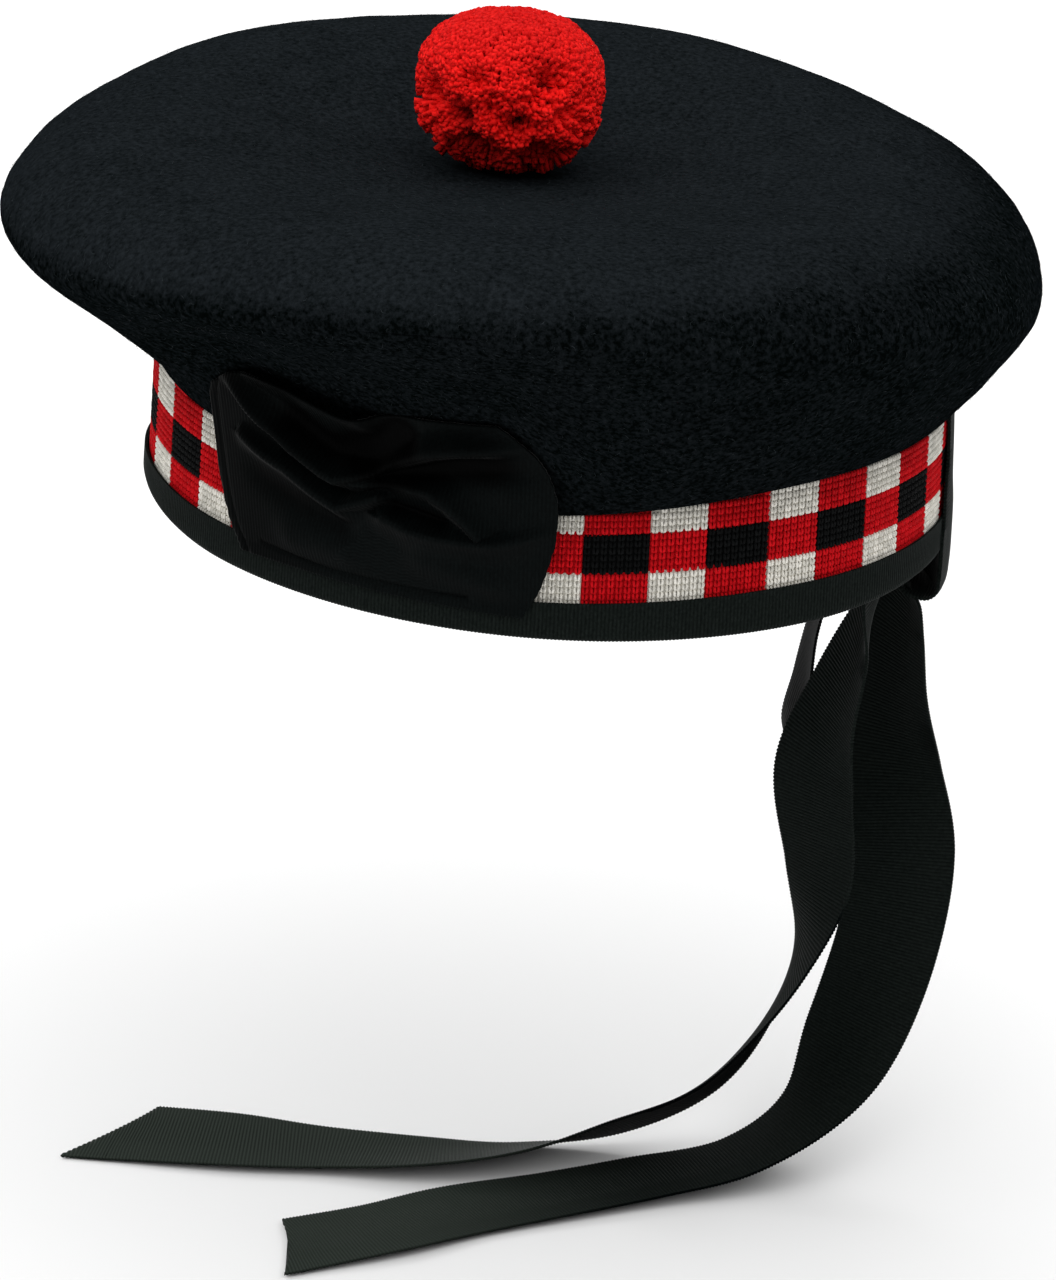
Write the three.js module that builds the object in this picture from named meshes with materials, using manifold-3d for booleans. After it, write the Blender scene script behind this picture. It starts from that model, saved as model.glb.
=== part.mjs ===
// Balmoral bonnet: a soft felt crown on a diced band, with a toorie, a cockade and ribbon tails.
// Millimetres, +Z up, +Y to the wearer's back, +X to the wearer's left.
// The origin is the middle of the head opening, level with the rim.
import * as THREE from 'three';
import { mergeVertices } from 'three/addons/utils/BufferGeometryUtils.js';
import Module from 'manifold-3d';

// Head band: an egg-shaped oval, wider at the back, narrowing a little upwards.
const bandHalfLength = 96.4;
const bandHalfWidth = 84;
const bandEgg = 0.06;
const bandTopScale = 0.99;
const bandTaperHeight = 33;
const knitWall = 2.5;

// Cloth thicknesses and the clearance between neighbouring pieces.
const feltWall = 2.4;
const ribbonWall = 1.0;
const cockadeWall = 1.2;
const clearance = 0.35;

// Lower edge: how high the knit's hem and the ribbon's straight part lie above the fold, and their rounding.
const hem = 1.6;
const hemRise = 0.8;
const hemRound = 0.7;
const foldStraight = 2.2;
const foldRound = 0.9;
const foldRise = 0.6;
const foldFlat = 0.5;

// Bonnet outline, one row for each eighth of a turn from the wearer's left towards the back.
// rim, bound and foot are heights: the lower edge, the ribbon's upper edge and the crown's lower edge.
// neck is how far the crown stands upright above its foot before it swings out.
// reach is the distance from the middle to the crown's widest edge, and height is how high that lies.
// puff is how far the cloth between that edge and the middle swells up.
const bonnetRows = [
  { place: 'left', rim: -2.2, bound: 5.9, foot: 26, neck: 3, reach: 137.5, height: 78.5, puff: 0 },
  { place: 'back left', rim: -0.4, bound: 9, foot: 32.5, neck: 3, reach: 127.5, height: 73, puff: 0 },
  { place: 'back', rim: 3, bound: 11, foot: 35.5, neck: 3, reach: 115, height: 62, puff: 0 },
  { place: 'back right', rim: 0.5, bound: 9, foot: 33, neck: 3, reach: 122, height: 69, puff: 2 },
  { place: 'right', rim: -2, bound: 6.5, foot: 30, neck: 3, reach: 135, height: 78, puff: 6 },
  { place: 'front right', rim: 1.5, bound: 9.5, foot: 34, neck: 6, reach: 136, height: 79, puff: 6 },
  { place: 'front', rim: 7, bound: 13.5, foot: 40, neck: 10, reach: 131, height: 73.5, puff: 2 },
  { place: 'front left', rim: 0.4, bound: 8.9, foot: 32.5, neck: 8, reach: 134.5, height: 71.5, puff: 0 },
];

// Crown: the height of its top, how far the middle sinks, and where the middle lies.
const crownTop = 100.5;
const crownDish = 16.5;
const poleSide = 6;
const poleBack = -12.5;
const poleDrift = 1.3;
const shoulderRound = 3;
const shoulderRise = 2.05;
const crownFootOut = 0.3;
// The underside swings out along a curve whose two handles are shares of the overhang and of its rise.
const lowHandleShare = 0.1;
const highHandleShare = 0.9;
const highHandleRise = 0.85;

// Cockade: where its pinch sits on the band, how it leans out, and where it presses the crown in.
const cockadeTurn = -16.5;
const cockadeLean = 0.19;
const cockadeStandOff = 1.68;
const pressHalfTurn = 40;
const pressGain = 1.7;
// Behind the cockade the underside's two handles lie this far out from the foot and above it.
const pressedLow = { out: 1, up: 24 };
const pressedHigh = { out: 13, up: 37 };

// Cockade outline, one row for each level: how far its left and right edges lie from the pinch.
const cockadeSides = [
  { level: 0, left: -35.5, right: 34 },
  { level: 0.2, left: -38, right: 40.5 },
  { level: 0.45, left: -40, right: 42 },
  { level: 0.7, left: -41, right: 41 },
  { level: 0.88, left: -41.5, right: 36 },
  { level: 1, left: -38, right: 28.5 },
];
// Cockade lower and upper edges above the binding, one row for each place across it.
const cockadeEdges = [
  { across: 0, foot: -2.5, top: 38 },
  { across: 0.2, foot: -1.8, top: 43 },
  { across: 0.45, foot: -1, top: 41.5 },
  { across: 0.7, foot: -0.8, top: 42.5 },
  { across: 1, foot: -2, top: 43.5 },
];
// Folds of the cockade: each runs from one point to another, with its crest height and half breadth.
const cockadeFolds = [
  { fold: 'upper left flap', along: -19, up: 43, toAlong: -3, toUp: 38, crest: 4.5, breadth: 6 },
  { fold: 'left main', along: -38, up: 37, toAlong: -9, toUp: 23, crest: 5.5, breadth: 6.5 },
  { fold: 'left lower', along: -33, up: 25.5, toAlong: -8, toUp: 16, crest: 4.5, breadth: 6 },
  { fold: 'pinch', along: -8, up: 21, toAlong: 3, toUp: 21, crest: 5, breadth: 6 },
  { fold: 'right upper', along: 0, up: 25, toAlong: 30, toUp: 38, crest: 5, breadth: 6.5 },
  { fold: 'right middle', along: 3, up: 21, toAlong: 22, toUp: 19, crest: 4.5, breadth: 5.5 },
  { fold: 'right lower', along: 5, up: 16, toAlong: 36, toUp: 14, crest: 4, breadth: 6 },
  { fold: 'right round end', along: 37, up: 10, toAlong: 38, toUp: 32, crest: 4.5, breadth: 8 },
  { fold: 'lower left swell', along: -26, up: 9, toAlong: -14, toUp: 8, crest: 2, breadth: 9 },
  { fold: 'lower right swell', along: 12, up: 6, toAlong: 30, toUp: 6, crest: 2, breadth: 8 },
];

// Ribbon tails and loop: the width of the ribbon and the slant of each cut end.
const ribbonWidth = 25.5;
const leftEndSlant = 20;
const rightEndSlant = 9;

// Each ribbon row is a place on its middle line with the heading and rise of its width, in degrees.
const tailLeftRows = [
  { side: 27.5, back: 85, up: 10.5, heading: -21, rise: 0 },
  { side: 27.5, back: 84.9, up: 3.5, heading: -21, rise: 0 },
  { side: 25.5, back: 83, up: -5, heading: -6, rise: 0 },
  { side: 22.5, back: 80, up: -15, heading: 13, rise: -2 },
  { side: 21, back: 74, up: -36, heading: 29, rise: -11 },
  { side: 19, back: 71, up: -56, heading: 51, rise: -4 },
  { side: 17.5, back: 73.5, up: -81, heading: 40, rise: 5 },
  { side: 19.5, back: 71, up: -102, heading: 9, rise: 1 },
  { side: 18.5, back: 61, up: -125.5, heading: -11, rise: -2 },
  { side: 15.5, back: 48, up: -143, heading: -11, rise: 5 },
  { side: 16.5, back: 29, up: -154, heading: 3, rise: 20 },
  { side: 22, back: 5, up: -160, heading: 9, rise: 19 },
  { side: 25.5, back: -17.5, up: -162, heading: 2, rise: 11 },
  { side: 26.5, back: -43, up: -163.5, heading: 5, rise: 4 },
  { side: 29.5, back: -65.5, up: -162.5, heading: 4, rise: -3 },
  { side: 30.8, back: -97, up: -163.3, heading: 1, rise: -6 },
];
const tailRightRows = [
  { side: -3, back: 88.5, up: -9.6, heading: 21, rise: 0 },
  { side: -4, back: 88, up: -16, heading: 24, rise: 4 },
  { side: -4.5, back: 88, up: -37, heading: 37, rise: -4 },
  { side: -6.5, back: 89.5, up: -58, heading: 60, rise: 4 },
  { side: -6, back: 93, up: -82, heading: 89, rise: 2 },
  { side: -5, back: 91.3, up: -105, heading: 89, rise: -10 },
  { side: -2.5, back: 84.5, up: -131, heading: 66, rise: -12 },
  { side: 5.5, back: 75.5, up: -149, heading: 32, rise: 3 },
  { side: 14.5, back: 59.5, up: -159.5, heading: 22, rise: 7 },
  { side: 25.5, back: 36.5, up: -163, heading: 29, rise: 5 },
  { side: 37, back: 17, up: -164, heading: 31, rise: 4 },
  { side: 51, back: -4.5, up: -164, heading: 36, rise: 1 },
  { side: 66, back: -22, up: -163.5, heading: 38, rise: 2 },
  { side: 79.5, back: -43.5, up: -164.3, heading: 31, rise: 0 },
];
const bowLoopRows = [
  { side: -30.5, back: 83.7, up: 10.5, heading: 23, rise: 0 },
  { side: -30.5, back: 83.6, up: 3.5, heading: 23, rise: 0 },
  { side: -30, back: 82, up: -10, heading: 14, rise: 0 },
  { side: -29.5, back: 78.5, up: -32, heading: 7, rise: 0 },
  { side: -29, back: 73, up: -55, heading: 4, rise: 0 },
  { side: -29, back: 66, up: -69, heading: 4, rise: 0 },
  { side: -29, back: 60.2, up: -65, heading: 4, rise: 0 },
  { side: -29, back: 60.2, up: -50, heading: 4, rise: 0 },
  { side: -29, back: 62.8, up: -30, heading: 5, rise: 0 },
  { side: -29.5, back: 69, up: -14, heading: 9, rise: 0 },
  { side: -30, back: 77.5, up: -3, heading: 17, rise: 0 },
  { side: -30.5, back: 81.4, up: 3.5, heading: 23, rise: 0 },
  { side: -30.5, back: 82, up: 10.5, heading: 23, rise: 0 },
];

// Ribbon wrapped over the rim at the back: distance out from the band and height, from top to inside end.
const keeperHalfWidth = 12.5;
const keeperRows = [
  { out: 1.5, up: 34 },
  { out: 1.4, up: 26 },
  { out: 1.7, up: 17 },
  { out: 2.3, up: 10 },
  { out: 2.4, up: 2 },
  { out: 1.9, up: -4 },
  { out: 0, up: -7.6 },
  { out: -3.5, up: -8.7 },
  { out: -7, up: -7.6 },
  { out: -8.6, up: -2 },
  { out: -7.6, up: 4 },
  { out: -6, up: 9 },
  { out: -5.2, up: 13 },
];

// Toorie: a slightly flattened ball of yarn locks on a round head.
const toorieWidth = 45.5;
const toorieHeight = 38.5;
const toorieHead = 20.9;
const toorieLocks = 46;
const lockLength = 5;
const lockTip = 3;
const lockRoot = 4.25;
const lockSides = 4;

// How finely each piece is divided.
const turnSteps = 56;
const crownSteps = { under: 8, over: 10 };
const cockadeSteps = { columns: 24, levels: 13 };
const keeperSteps = { along: 22, across: 4 };
const ribbonAcross = 3;
const loopSteps = 38;
const leftSteps = 50;
const rightSteps = 46;
const smallTurn = 0.001;

const felt = new THREE.MeshStandardMaterial({ color: 0x171c20, roughness: 0.95, metalness: 0 });
const knit = new THREE.MeshStandardMaterial({ color: 0xb01a24, roughness: 0.9, metalness: 0 });
const ribbon = new THREE.MeshStandardMaterial({ color: 0x14181a, roughness: 0.7, metalness: 0 });
const yarn = new THREE.MeshStandardMaterial({ color: 0xd41a2a, roughness: 0.95, metalness: 0 });

const degrees = Math.PI / 180;

// Point on the outer face of the band at a turn and height, moved out along its normal.
function bandPoint(turn, height, out) {
  const scale = 1 - (1 - bandTopScale) * Math.min(Math.max(height, 0) / bandTaperHeight, 1);
  const place = (angle) => new THREE.Vector2(
    bandHalfWidth * (1 + bandEgg * Math.sin(angle)) * Math.cos(angle) * scale,
    bandHalfLength * Math.sin(angle) * scale,
  );
  const here = place(turn);
  const ahead = place(turn + smallTurn).sub(place(turn - smallTurn)).normalize();
  return new THREE.Vector3(here.x + ahead.y * out, here.y - ahead.x * out, height);
}

// Smooth curve through evenly spaced values that closes on itself.
function aroundValue(values, share) {
  const count = values.length;
  const place = ((share % 1) + 1) % 1 * count;
  const first = Math.floor(place);
  const part = place - first;
  const value = (offset) => values[(first + offset + count) % count];
  const [a, b, c, d] = [value(-1), value(0), value(1), value(2)];
  return b + 0.5 * part * (c - a + part * (2 * a - 5 * b + 4 * c - d + part * (3 * (b - c) + d - a)));
}

// One column of the bonnet's outline at any turn.
function outlineAt(turn, column) {
  return aroundValue(bonnetRows.map((row) => row[column]), turn / (2 * Math.PI));
}

// Straight-line reading of a short table at one of its columns.
function tableValue(rows, key, column, place) {
  let next = rows.findIndex((row) => row[key] >= place);
  if (next === -1) {
    next = rows.length - 1;
  }
  if (next === 0) {
    return rows[0][column];
  }
  const before = rows[next - 1];
  const after = rows[next];
  const part = Math.min((place - before[key]) / (after[key] - before[key]), 1);
  return before[column] + (after[column] - before[column]) * part;
}

// Builds a geometry from points and triangles.
function solidFrom(points, triangles) {
  const geometry = new THREE.BufferGeometry();
  const flat = points.flatMap((point) => [point.x, point.y, point.z]);
  geometry.setAttribute('position', new THREE.Float32BufferAttribute(flat, 3));
  geometry.setIndex(triangles);
  geometry.computeVertexNormals();
  return geometry;
}

// Adds the two triangles of one four-sided patch.
function addPatch(triangles, a, b, c, d) {
  triangles.push(a, b, c, a, c, d);
}

// Closed ring: a closed profile carried round the band, each row measured up from a named line.
function ringSolid(profile, steps) {
  const points = [];
  const triangles = [];
  const count = profile.length;
  for (let step = 0; step < steps; step += 1) {
    const turn = (step / steps) * 2 * Math.PI;
    profile.forEach((row) => points.push(bandPoint(turn, outlineAt(turn, row.line) + row.up, row.out)));
  }
  for (let step = 0; step < steps; step += 1) {
    const here = step * count;
    const next = ((step + 1) % steps) * count;
    for (let i = 0; i < count; i += 1) {
      const j = (i + 1) % count;
      addPatch(triangles, here + i, next + i, next + j, here + j);
    }
  }
  return solidFrom(points, triangles);
}

// Closed sheet: a front grid of points and a back grid, joined round the edge.
function sheetSolid(front, back) {
  const rows = front.length;
  const columns = front[0].length;
  const points = [...front.flat(), ...back.flat()];
  const triangles = [];
  const half = rows * columns;
  const at = (row, column) => row * columns + column;
  for (let row = 0; row + 1 < rows; row += 1) {
    for (let column = 0; column + 1 < columns; column += 1) {
      const [a, b] = [at(row, column), at(row, column + 1)];
      const [c, d] = [at(row + 1, column + 1), at(row + 1, column)];
      addPatch(triangles, a, b, c, d);
      addPatch(triangles, half + a, half + d, half + c, half + b);
    }
  }
  for (let column = 0; column + 1 < columns; column += 1) {
    const last = rows - 1;
    addPatch(triangles, at(0, column + 1), at(0, column), half + at(0, column), half + at(0, column + 1));
    addPatch(triangles, at(last, column), at(last, column + 1),
      half + at(last, column + 1), half + at(last, column));
  }
  for (let row = 0; row + 1 < rows; row += 1) {
    const last = columns - 1;
    addPatch(triangles, at(row, 0), at(row + 1, 0), half + at(row + 1, 0), half + at(row, 0));
    addPatch(triangles, at(row + 1, last), at(row, last), half + at(row, last), half + at(row + 1, last));
  }
  return solidFrom(points, triangles);
}

// Unit normals of a grid of points, from its neighbours.
function gridNormals(grid, closed) {
  const rows = grid.length;
  const columns = grid[0].length;
  return grid.map((line, row) => line.map((point, column) => {
    const left = closed ? (column - 1 + columns) % columns : Math.max(column - 1, 0);
    const right = closed ? (column + 1) % columns : Math.min(column + 1, columns - 1);
    const alongRow = new THREE.Vector3().subVectors(line[right], line[left]);
    const below = grid[Math.max(row - 1, 0)][column];
    const above = grid[Math.min(row + 1, rows - 1)][column];
    return alongRow.cross(new THREE.Vector3().subVectors(above, below)).normalize();
  }));
}

// How strongly the cockade presses the crown in at one turn, from 0 to 1.
function pressedIn(turn) {
  let away = Math.abs(turn / degrees - cockadeTurn) % 360;
  away = Math.min(away, 360 - away);
  const share = Math.max(1 - away / pressHalfTurn, 0);
  return Math.min(share * share * (3 - 2 * share) * pressGain, 1);
}

// Crown profile at one turn: up the underside from the band to the widest edge, then over the top.
function crownProfile(turn, underSteps, overSteps) {
  const reach = outlineAt(turn, 'reach');
  const height = outlineAt(turn, 'height');
  const foot = bandPoint(turn, outlineAt(turn, 'foot'), crownFootOut);
  const edge = new THREE.Vector3(reach * Math.cos(turn), reach * Math.sin(turn), height);
  const span = new THREE.Vector3().subVectors(edge, foot);
  const level = new THREE.Vector3(span.x, span.y, 0);
  const press = pressedIn(turn);
  const flare = level.length();
  level.normalize();
  const control = (out, up) => foot.clone().addScaledVector(level, out).add(new THREE.Vector3(0, 0, up));
  const low = control(
    THREE.MathUtils.lerp(lowHandleShare * flare, pressedLow.out, press),
    THREE.MathUtils.lerp(outlineAt(turn, 'neck'), pressedLow.up, press),
  );
  const high = control(
    THREE.MathUtils.lerp(highHandleShare * flare, pressedHigh.out, press),
    THREE.MathUtils.lerp(highHandleRise * span.z, pressedHigh.up, press),
  );
  const under = new THREE.CubicBezierCurve3(foot, low, high, edge).getPoints(underSteps);
  const over = [];
  for (let step = 1; step < overSteps; step += 1) {
    const lift = (step / overSteps) * Math.PI * 0.5;
    const ring = Math.pow(Math.cos(lift), 2 / shoulderRound);
    const rise = Math.pow(Math.sin(lift), 2 / shoulderRise);
    const inward = Math.pow(1 - ring, poleDrift);
    const dish = crownDish * (1 - ring * ring) * (1 - ring * ring);
    const swell = outlineAt(turn, 'puff') * 4 * ring * ring * (1 - ring * ring);
    over.push(new THREE.Vector3(
      edge.x * ring + poleSide * inward,
      edge.y * ring + poleBack * inward,
      height + (crownTop - height) * rise - dish + swell,
    ));
  }
  return [...under, ...over];
}

// Hollow crown: outer skin, inner skin set in by the felt's thickness, and an open foot.
function crownSolid(steps, underSteps, overSteps) {
  const columns = [];
  for (let step = 0; step < steps; step += 1) {
    columns.push(crownProfile((step / steps) * 2 * Math.PI, underSteps, overSteps));
  }
  const rows = columns[0].length;
  const outer = [];
  for (let row = 0; row < rows; row += 1) {
    outer.push(columns.map((column) => column[row]));
  }
  const normals = gridNormals(outer, true);
  const inner = outer.map((line, row) => line.map((point, column) => {
    if (row === 0) {
      const turn = (column / steps) * 2 * Math.PI;
      return bandPoint(turn, outlineAt(turn, 'foot'), crownFootOut - feltWall);
    }
    return point.clone().addScaledVector(normals[row][column], -feltWall);
  }));
  const pole = new THREE.Vector3(poleSide, poleBack, crownTop - crownDish);
  const points = [...outer.flat(), ...inner.flat(), pole, pole.clone().setZ(pole.z - feltWall)];
  const triangles = [];
  const half = rows * steps;
  for (let column = 0; column < steps; column += 1) {
    const next = (column + 1) % steps;
    for (let row = 0; row + 1 < rows; row += 1) {
      const [a, b] = [row * steps + column, row * steps + next];
      const [c, d] = [(row + 1) * steps + next, (row + 1) * steps + column];
      addPatch(triangles, a, b, c, d);
      addPatch(triangles, half + a, half + d, half + c, half + b);
    }
    const last = (rows - 1) * steps;
    triangles.push(last + column, last + next, 2 * half);
    triangles.push(half + last + next, half + last + column, 2 * half + 1);
    addPatch(triangles, next, column, half + column, half + next);
  }
  return solidFrom(points, triangles);
}

// Ribbon carried along its rows and cut at a slant at its far end.
function ribbonSolid(rows, slant, steps, across) {
  const middle = new THREE.CatmullRomCurve3(
    rows.map((row) => new THREE.Vector3(row.side, row.back, row.up)), false, 'centripetal');
  const turns = new THREE.CatmullRomCurve3(
    rows.map((row) => new THREE.Vector3(row.heading, row.rise, 0)), false, 'catmullrom');
  const length = middle.getLength();
  const grid = [];
  for (let step = 0; step <= steps; step += 1) {
    const line = [];
    for (let place = 0; place <= across; place += 1) {
      const part = place / across - 0.5;
      const reached = (step / steps) * (length + slant * part) / length;
      const spot = Math.min(reached, 1);
      const parameter = middle.getUtoTmapping(spot);
      const point = middle.getPoint(parameter);
      const beyond = middle.getTangentAt(1).multiplyScalar((reached - spot) * length);
      const turn = turns.getPoint(parameter);
      const heading = turn.x * degrees;
      const rise = turn.y * degrees;
      const width = new THREE.Vector3(
        Math.cos(rise) * Math.cos(heading),
        Math.cos(rise) * Math.sin(heading),
        Math.sin(rise),
      );
      line.push(point.add(beyond).addScaledVector(width, part * ribbonWidth));
    }
    grid.push(line);
  }
  const normals = gridNormals(grid, false);
  const shifted = (amount) => grid.map((line, row) => line.map(
    (point, column) => point.clone().addScaledVector(normals[row][column], amount)));
  return sheetSolid(shifted(ribbonWall / 2), shifted(-ribbonWall / 2));
}

// Keeper: a ribbon that follows its rows of out and height over the rim at the back.
function keeperSolid(steps, across) {
  const path = new THREE.CatmullRomCurve3(
    keeperRows.map((row) => new THREE.Vector3(row.out, row.up, 0)), false, 'centripetal');
  const spread = keeperHalfWidth / bandHalfWidth;
  const grid = [];
  for (let step = 0; step <= steps; step += 1) {
    const spot = path.getPointAt(step / steps);
    const line = [];
    for (let place = 0; place <= across; place += 1) {
      const turn = Math.PI / 2 + (0.5 - place / across) * 2 * spread;
      line.push(bandPoint(turn, spot.y, spot.x));
    }
    grid.push(line);
  }
  const normals = gridNormals(grid, false);
  const shifted = (amount) => grid.map((line, row) => line.map(
    (point, column) => point.clone().addScaledVector(normals[row][column], amount)));
  return sheetSolid(shifted(ribbonWall / 2), shifted(-ribbonWall / 2));
}

// Height of the cockade's folds at one place, measured out from its leaning base.
function foldHeight(along, up) {
  const spot = new THREE.Vector3(along, up, 0);
  let height = 0;
  cockadeFolds.forEach((row) => {
    const line = new THREE.Line3(
      new THREE.Vector3(row.along, row.up, 0), new THREE.Vector3(row.toAlong, row.toUp, 0));
    const near = line.closestPointToPoint(spot, true, new THREE.Vector3());
    const away = near.distanceTo(spot) / row.breadth;
    const share = Math.max(1 - away, 0);
    height = Math.max(height, row.crest * share * share * (3 - 2 * share));
  });
  return height;
}

// Turn on the band that lies a given distance along it from the pinch.
function turnAlong(along) {
  const steps = 40;
  let turn = cockadeTurn * degrees;
  for (let step = 0; step < steps; step += 1) {
    const pace = bandPoint(turn, 0, 0).distanceTo(bandPoint(turn + smallTurn, 0, 0)) / smallTurn;
    turn += along / steps / pace;
  }
  return turn;
}

// Cockade: a gathered ribbon with raised folds, leaning out from the band.
function cockadeSolid(columns, levels) {
  const place = (along, up, lift) => {
    const turn = turnAlong(along);
    const out = cockadeStandOff + cockadeLean * Math.max(up, 0) + lift;
    return bandPoint(turn, outlineAt(turn, 'bound') + up, out);
  };
  const front = [];
  const back = [];
  for (let level = 0; level <= levels; level += 1) {
    const height = level / levels;
    const left = tableValue(cockadeSides, 'level', 'left', height);
    const right = tableValue(cockadeSides, 'level', 'right', height);
    const frontLine = [];
    const backLine = [];
    for (let column = 0; column <= columns; column += 1) {
      const across = column / columns;
      const along = left + (right - left) * across;
      const foot = tableValue(cockadeEdges, 'across', 'foot', across);
      const top = tableValue(cockadeEdges, 'across', 'top', across);
      const up = foot + (top - foot) * height;
      const lift = foldHeight(along, up);
      frontLine.push(place(along, up, lift + cockadeWall));
      backLine.push(place(along, up, lift));
    }
    front.push(frontLine);
    back.push(backLine);
  }
  return sheetSolid(front, back);
}

const wasm = await Module();
wasm.setup();

// Closed geometry as a solid that can be joined.
function toSolid(geometry) {
  const bare = geometry.clone();
  bare.deleteAttribute('normal');
  bare.deleteAttribute('uv');
  const merged = mergeVertices(bare, 1e-4);
  const vertProperties = new Float32Array(merged.attributes.position.array);
  const triVerts = new Uint32Array(merged.index.array);
  return new wasm.Manifold(new wasm.Mesh({ numProp: 3, vertProperties, triVerts }));
}

// Joined solid as a geometry.
function fromSolid(solid) {
  const mesh = solid.getMesh();
  const geometry = new THREE.BufferGeometry();
  geometry.setAttribute('position', new THREE.Float32BufferAttribute(mesh.vertProperties, 3));
  geometry.setIndex(Array.from(mesh.triVerts));
  geometry.computeVertexNormals();
  return geometry;
}

// Toorie: locks of yarn fused to a round head.
function toorieSolid() {
  const wide = toorieWidth / 2;
  let ball = toSolid(new THREE.IcosahedronGeometry(toorieHead, 1));
  const golden = Math.PI * (3 - Math.sqrt(5));
  for (let lock = 0; lock < toorieLocks; lock += 1) {
    const height = 1 - ((lock + 0.5) / toorieLocks) * 2;
    const ring = Math.sqrt(1 - height * height);
    const turn = lock * golden;
    const direction = new THREE.Vector3(ring * Math.cos(turn), ring * Math.sin(turn), height);
    const tuft = new THREE.CylinderGeometry(lockTip, lockRoot, lockLength, lockSides);
    tuft.translate(0, wide - lockLength / 2, 0);
    const lean = new THREE.Quaternion().setFromUnitVectors(new THREE.Vector3(0, 1, 0), direction);
    tuft.applyQuaternion(lean);
    ball = ball.add(toSolid(tuft));
  }
  const geometry = fromSolid(ball);
  geometry.scale(1, 1, toorieHeight / toorieWidth);
  return geometry;
}

// Band and binding: closed profiles, each corner measured up from the rim, bound or foot line.
const bandProfile = [
  { line: 'rim', out: 0, up: hem + hemRise },
  { line: 'bound', out: 0, up: 2 },
  { line: 'foot', out: 0, up: -clearance },
  { line: 'foot', out: -knitWall, up: -clearance },
  { line: 'rim', out: -knitWall, up: hem + hemRise },
  { line: 'rim', out: -knitWall + hemRound, up: hem },
  { line: 'rim', out: -hemRound, up: hem },
];
const outerFace = clearance + ribbonWall;
const innerFace = -knitWall - clearance - ribbonWall;
const bindingProfile = [
  { line: 'rim', out: outerFace, up: foldStraight },
  { line: 'bound', out: outerFace, up: 0 },
  { line: 'bound', out: clearance, up: 0 },
  { line: 'rim', out: clearance, up: foldStraight },
  { line: 'rim', out: -foldFlat, up: hem - clearance },
  { line: 'rim', out: -knitWall + foldFlat, up: hem - clearance },
  { line: 'rim', out: -knitWall - clearance, up: foldStraight },
  { line: 'bound', out: -knitWall - clearance, up: 0 },
  { line: 'bound', out: innerFace, up: 0 },
  { line: 'rim', out: innerFace, up: foldStraight },
  { line: 'rim', out: innerFace + foldRound, up: foldRise },
  { line: 'rim', out: -knitWall + foldFlat, up: 0 },
  { line: 'rim', out: -foldFlat, up: 0 },
  { line: 'rim', out: outerFace - foldRound, up: foldRise },
];

// Mesh with its node's name.
function named(name, geometry, material) {
  const mesh = new THREE.Mesh(geometry, material);
  mesh.name = name;
  return mesh;
}

const bonnet = new THREE.Group();
bonnet.add(named('crown', crownSolid(turnSteps, crownSteps.under, crownSteps.over), felt));
bonnet.add(named('diced_band', ringSolid(bandProfile, turnSteps), knit));
bonnet.add(named('binding', ringSolid(bindingProfile, turnSteps), ribbon));
bonnet.add(named('cockade', cockadeSolid(cockadeSteps.columns, cockadeSteps.levels), ribbon));
bonnet.add(named('bow_keeper', keeperSolid(keeperSteps.along, keeperSteps.across), ribbon));
bonnet.add(named('bow_loop', ribbonSolid(bowLoopRows, 0, loopSteps, ribbonAcross), ribbon));
bonnet.add(named('tail_left', ribbonSolid(tailLeftRows, leftEndSlant, leftSteps, ribbonAcross), ribbon));
bonnet.add(named('tail_right', ribbonSolid(tailRightRows, rightEndSlant, rightSteps, ribbonAcross), ribbon));
const toorie = named('toorie', toorieSolid(), yarn);
toorie.position.set(poleSide, poleBack, crownTop - crownDish + clearance + toorieHeight / 2);
bonnet.add(toorie);

export default bonnet;
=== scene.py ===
# %% [markdown]
# A balmoral bonnet, dressed in Blender
#
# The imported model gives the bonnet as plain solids: a hollow felt crown, a diced band, a folded
# binding, a gathered cockade, ribbons at the back and a toorie on top. This lesson keeps every one
# of those places and sizes and puts real cloth over them: felt with a nap, knitted stitches,
# ribbed ribbon and cut yarn. The frame is loaded first, because nothing in it may move.

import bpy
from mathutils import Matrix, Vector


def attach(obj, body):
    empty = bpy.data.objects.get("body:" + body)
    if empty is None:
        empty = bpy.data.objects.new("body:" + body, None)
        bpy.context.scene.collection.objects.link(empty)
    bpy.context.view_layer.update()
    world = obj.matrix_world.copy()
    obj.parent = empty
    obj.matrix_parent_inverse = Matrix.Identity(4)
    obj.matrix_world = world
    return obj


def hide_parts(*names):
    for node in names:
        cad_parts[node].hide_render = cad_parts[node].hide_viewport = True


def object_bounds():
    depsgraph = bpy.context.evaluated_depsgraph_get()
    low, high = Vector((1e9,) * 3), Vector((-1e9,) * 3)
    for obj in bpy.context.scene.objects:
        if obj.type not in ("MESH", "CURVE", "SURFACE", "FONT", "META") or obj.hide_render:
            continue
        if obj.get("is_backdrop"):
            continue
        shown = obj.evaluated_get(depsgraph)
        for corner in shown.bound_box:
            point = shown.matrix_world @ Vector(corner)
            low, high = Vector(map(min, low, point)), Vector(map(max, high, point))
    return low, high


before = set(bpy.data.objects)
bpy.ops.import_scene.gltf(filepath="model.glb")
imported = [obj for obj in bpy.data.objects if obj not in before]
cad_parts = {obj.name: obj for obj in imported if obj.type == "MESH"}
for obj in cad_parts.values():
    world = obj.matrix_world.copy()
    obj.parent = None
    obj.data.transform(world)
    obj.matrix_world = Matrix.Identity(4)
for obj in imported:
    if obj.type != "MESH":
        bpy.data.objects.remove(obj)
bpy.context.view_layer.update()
print("frame nodes:", sorted(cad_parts))

# %% Modules and units
import math

import bmesh
import bpy
import numpy as np
from mathutils import Matrix, Vector, noise

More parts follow.
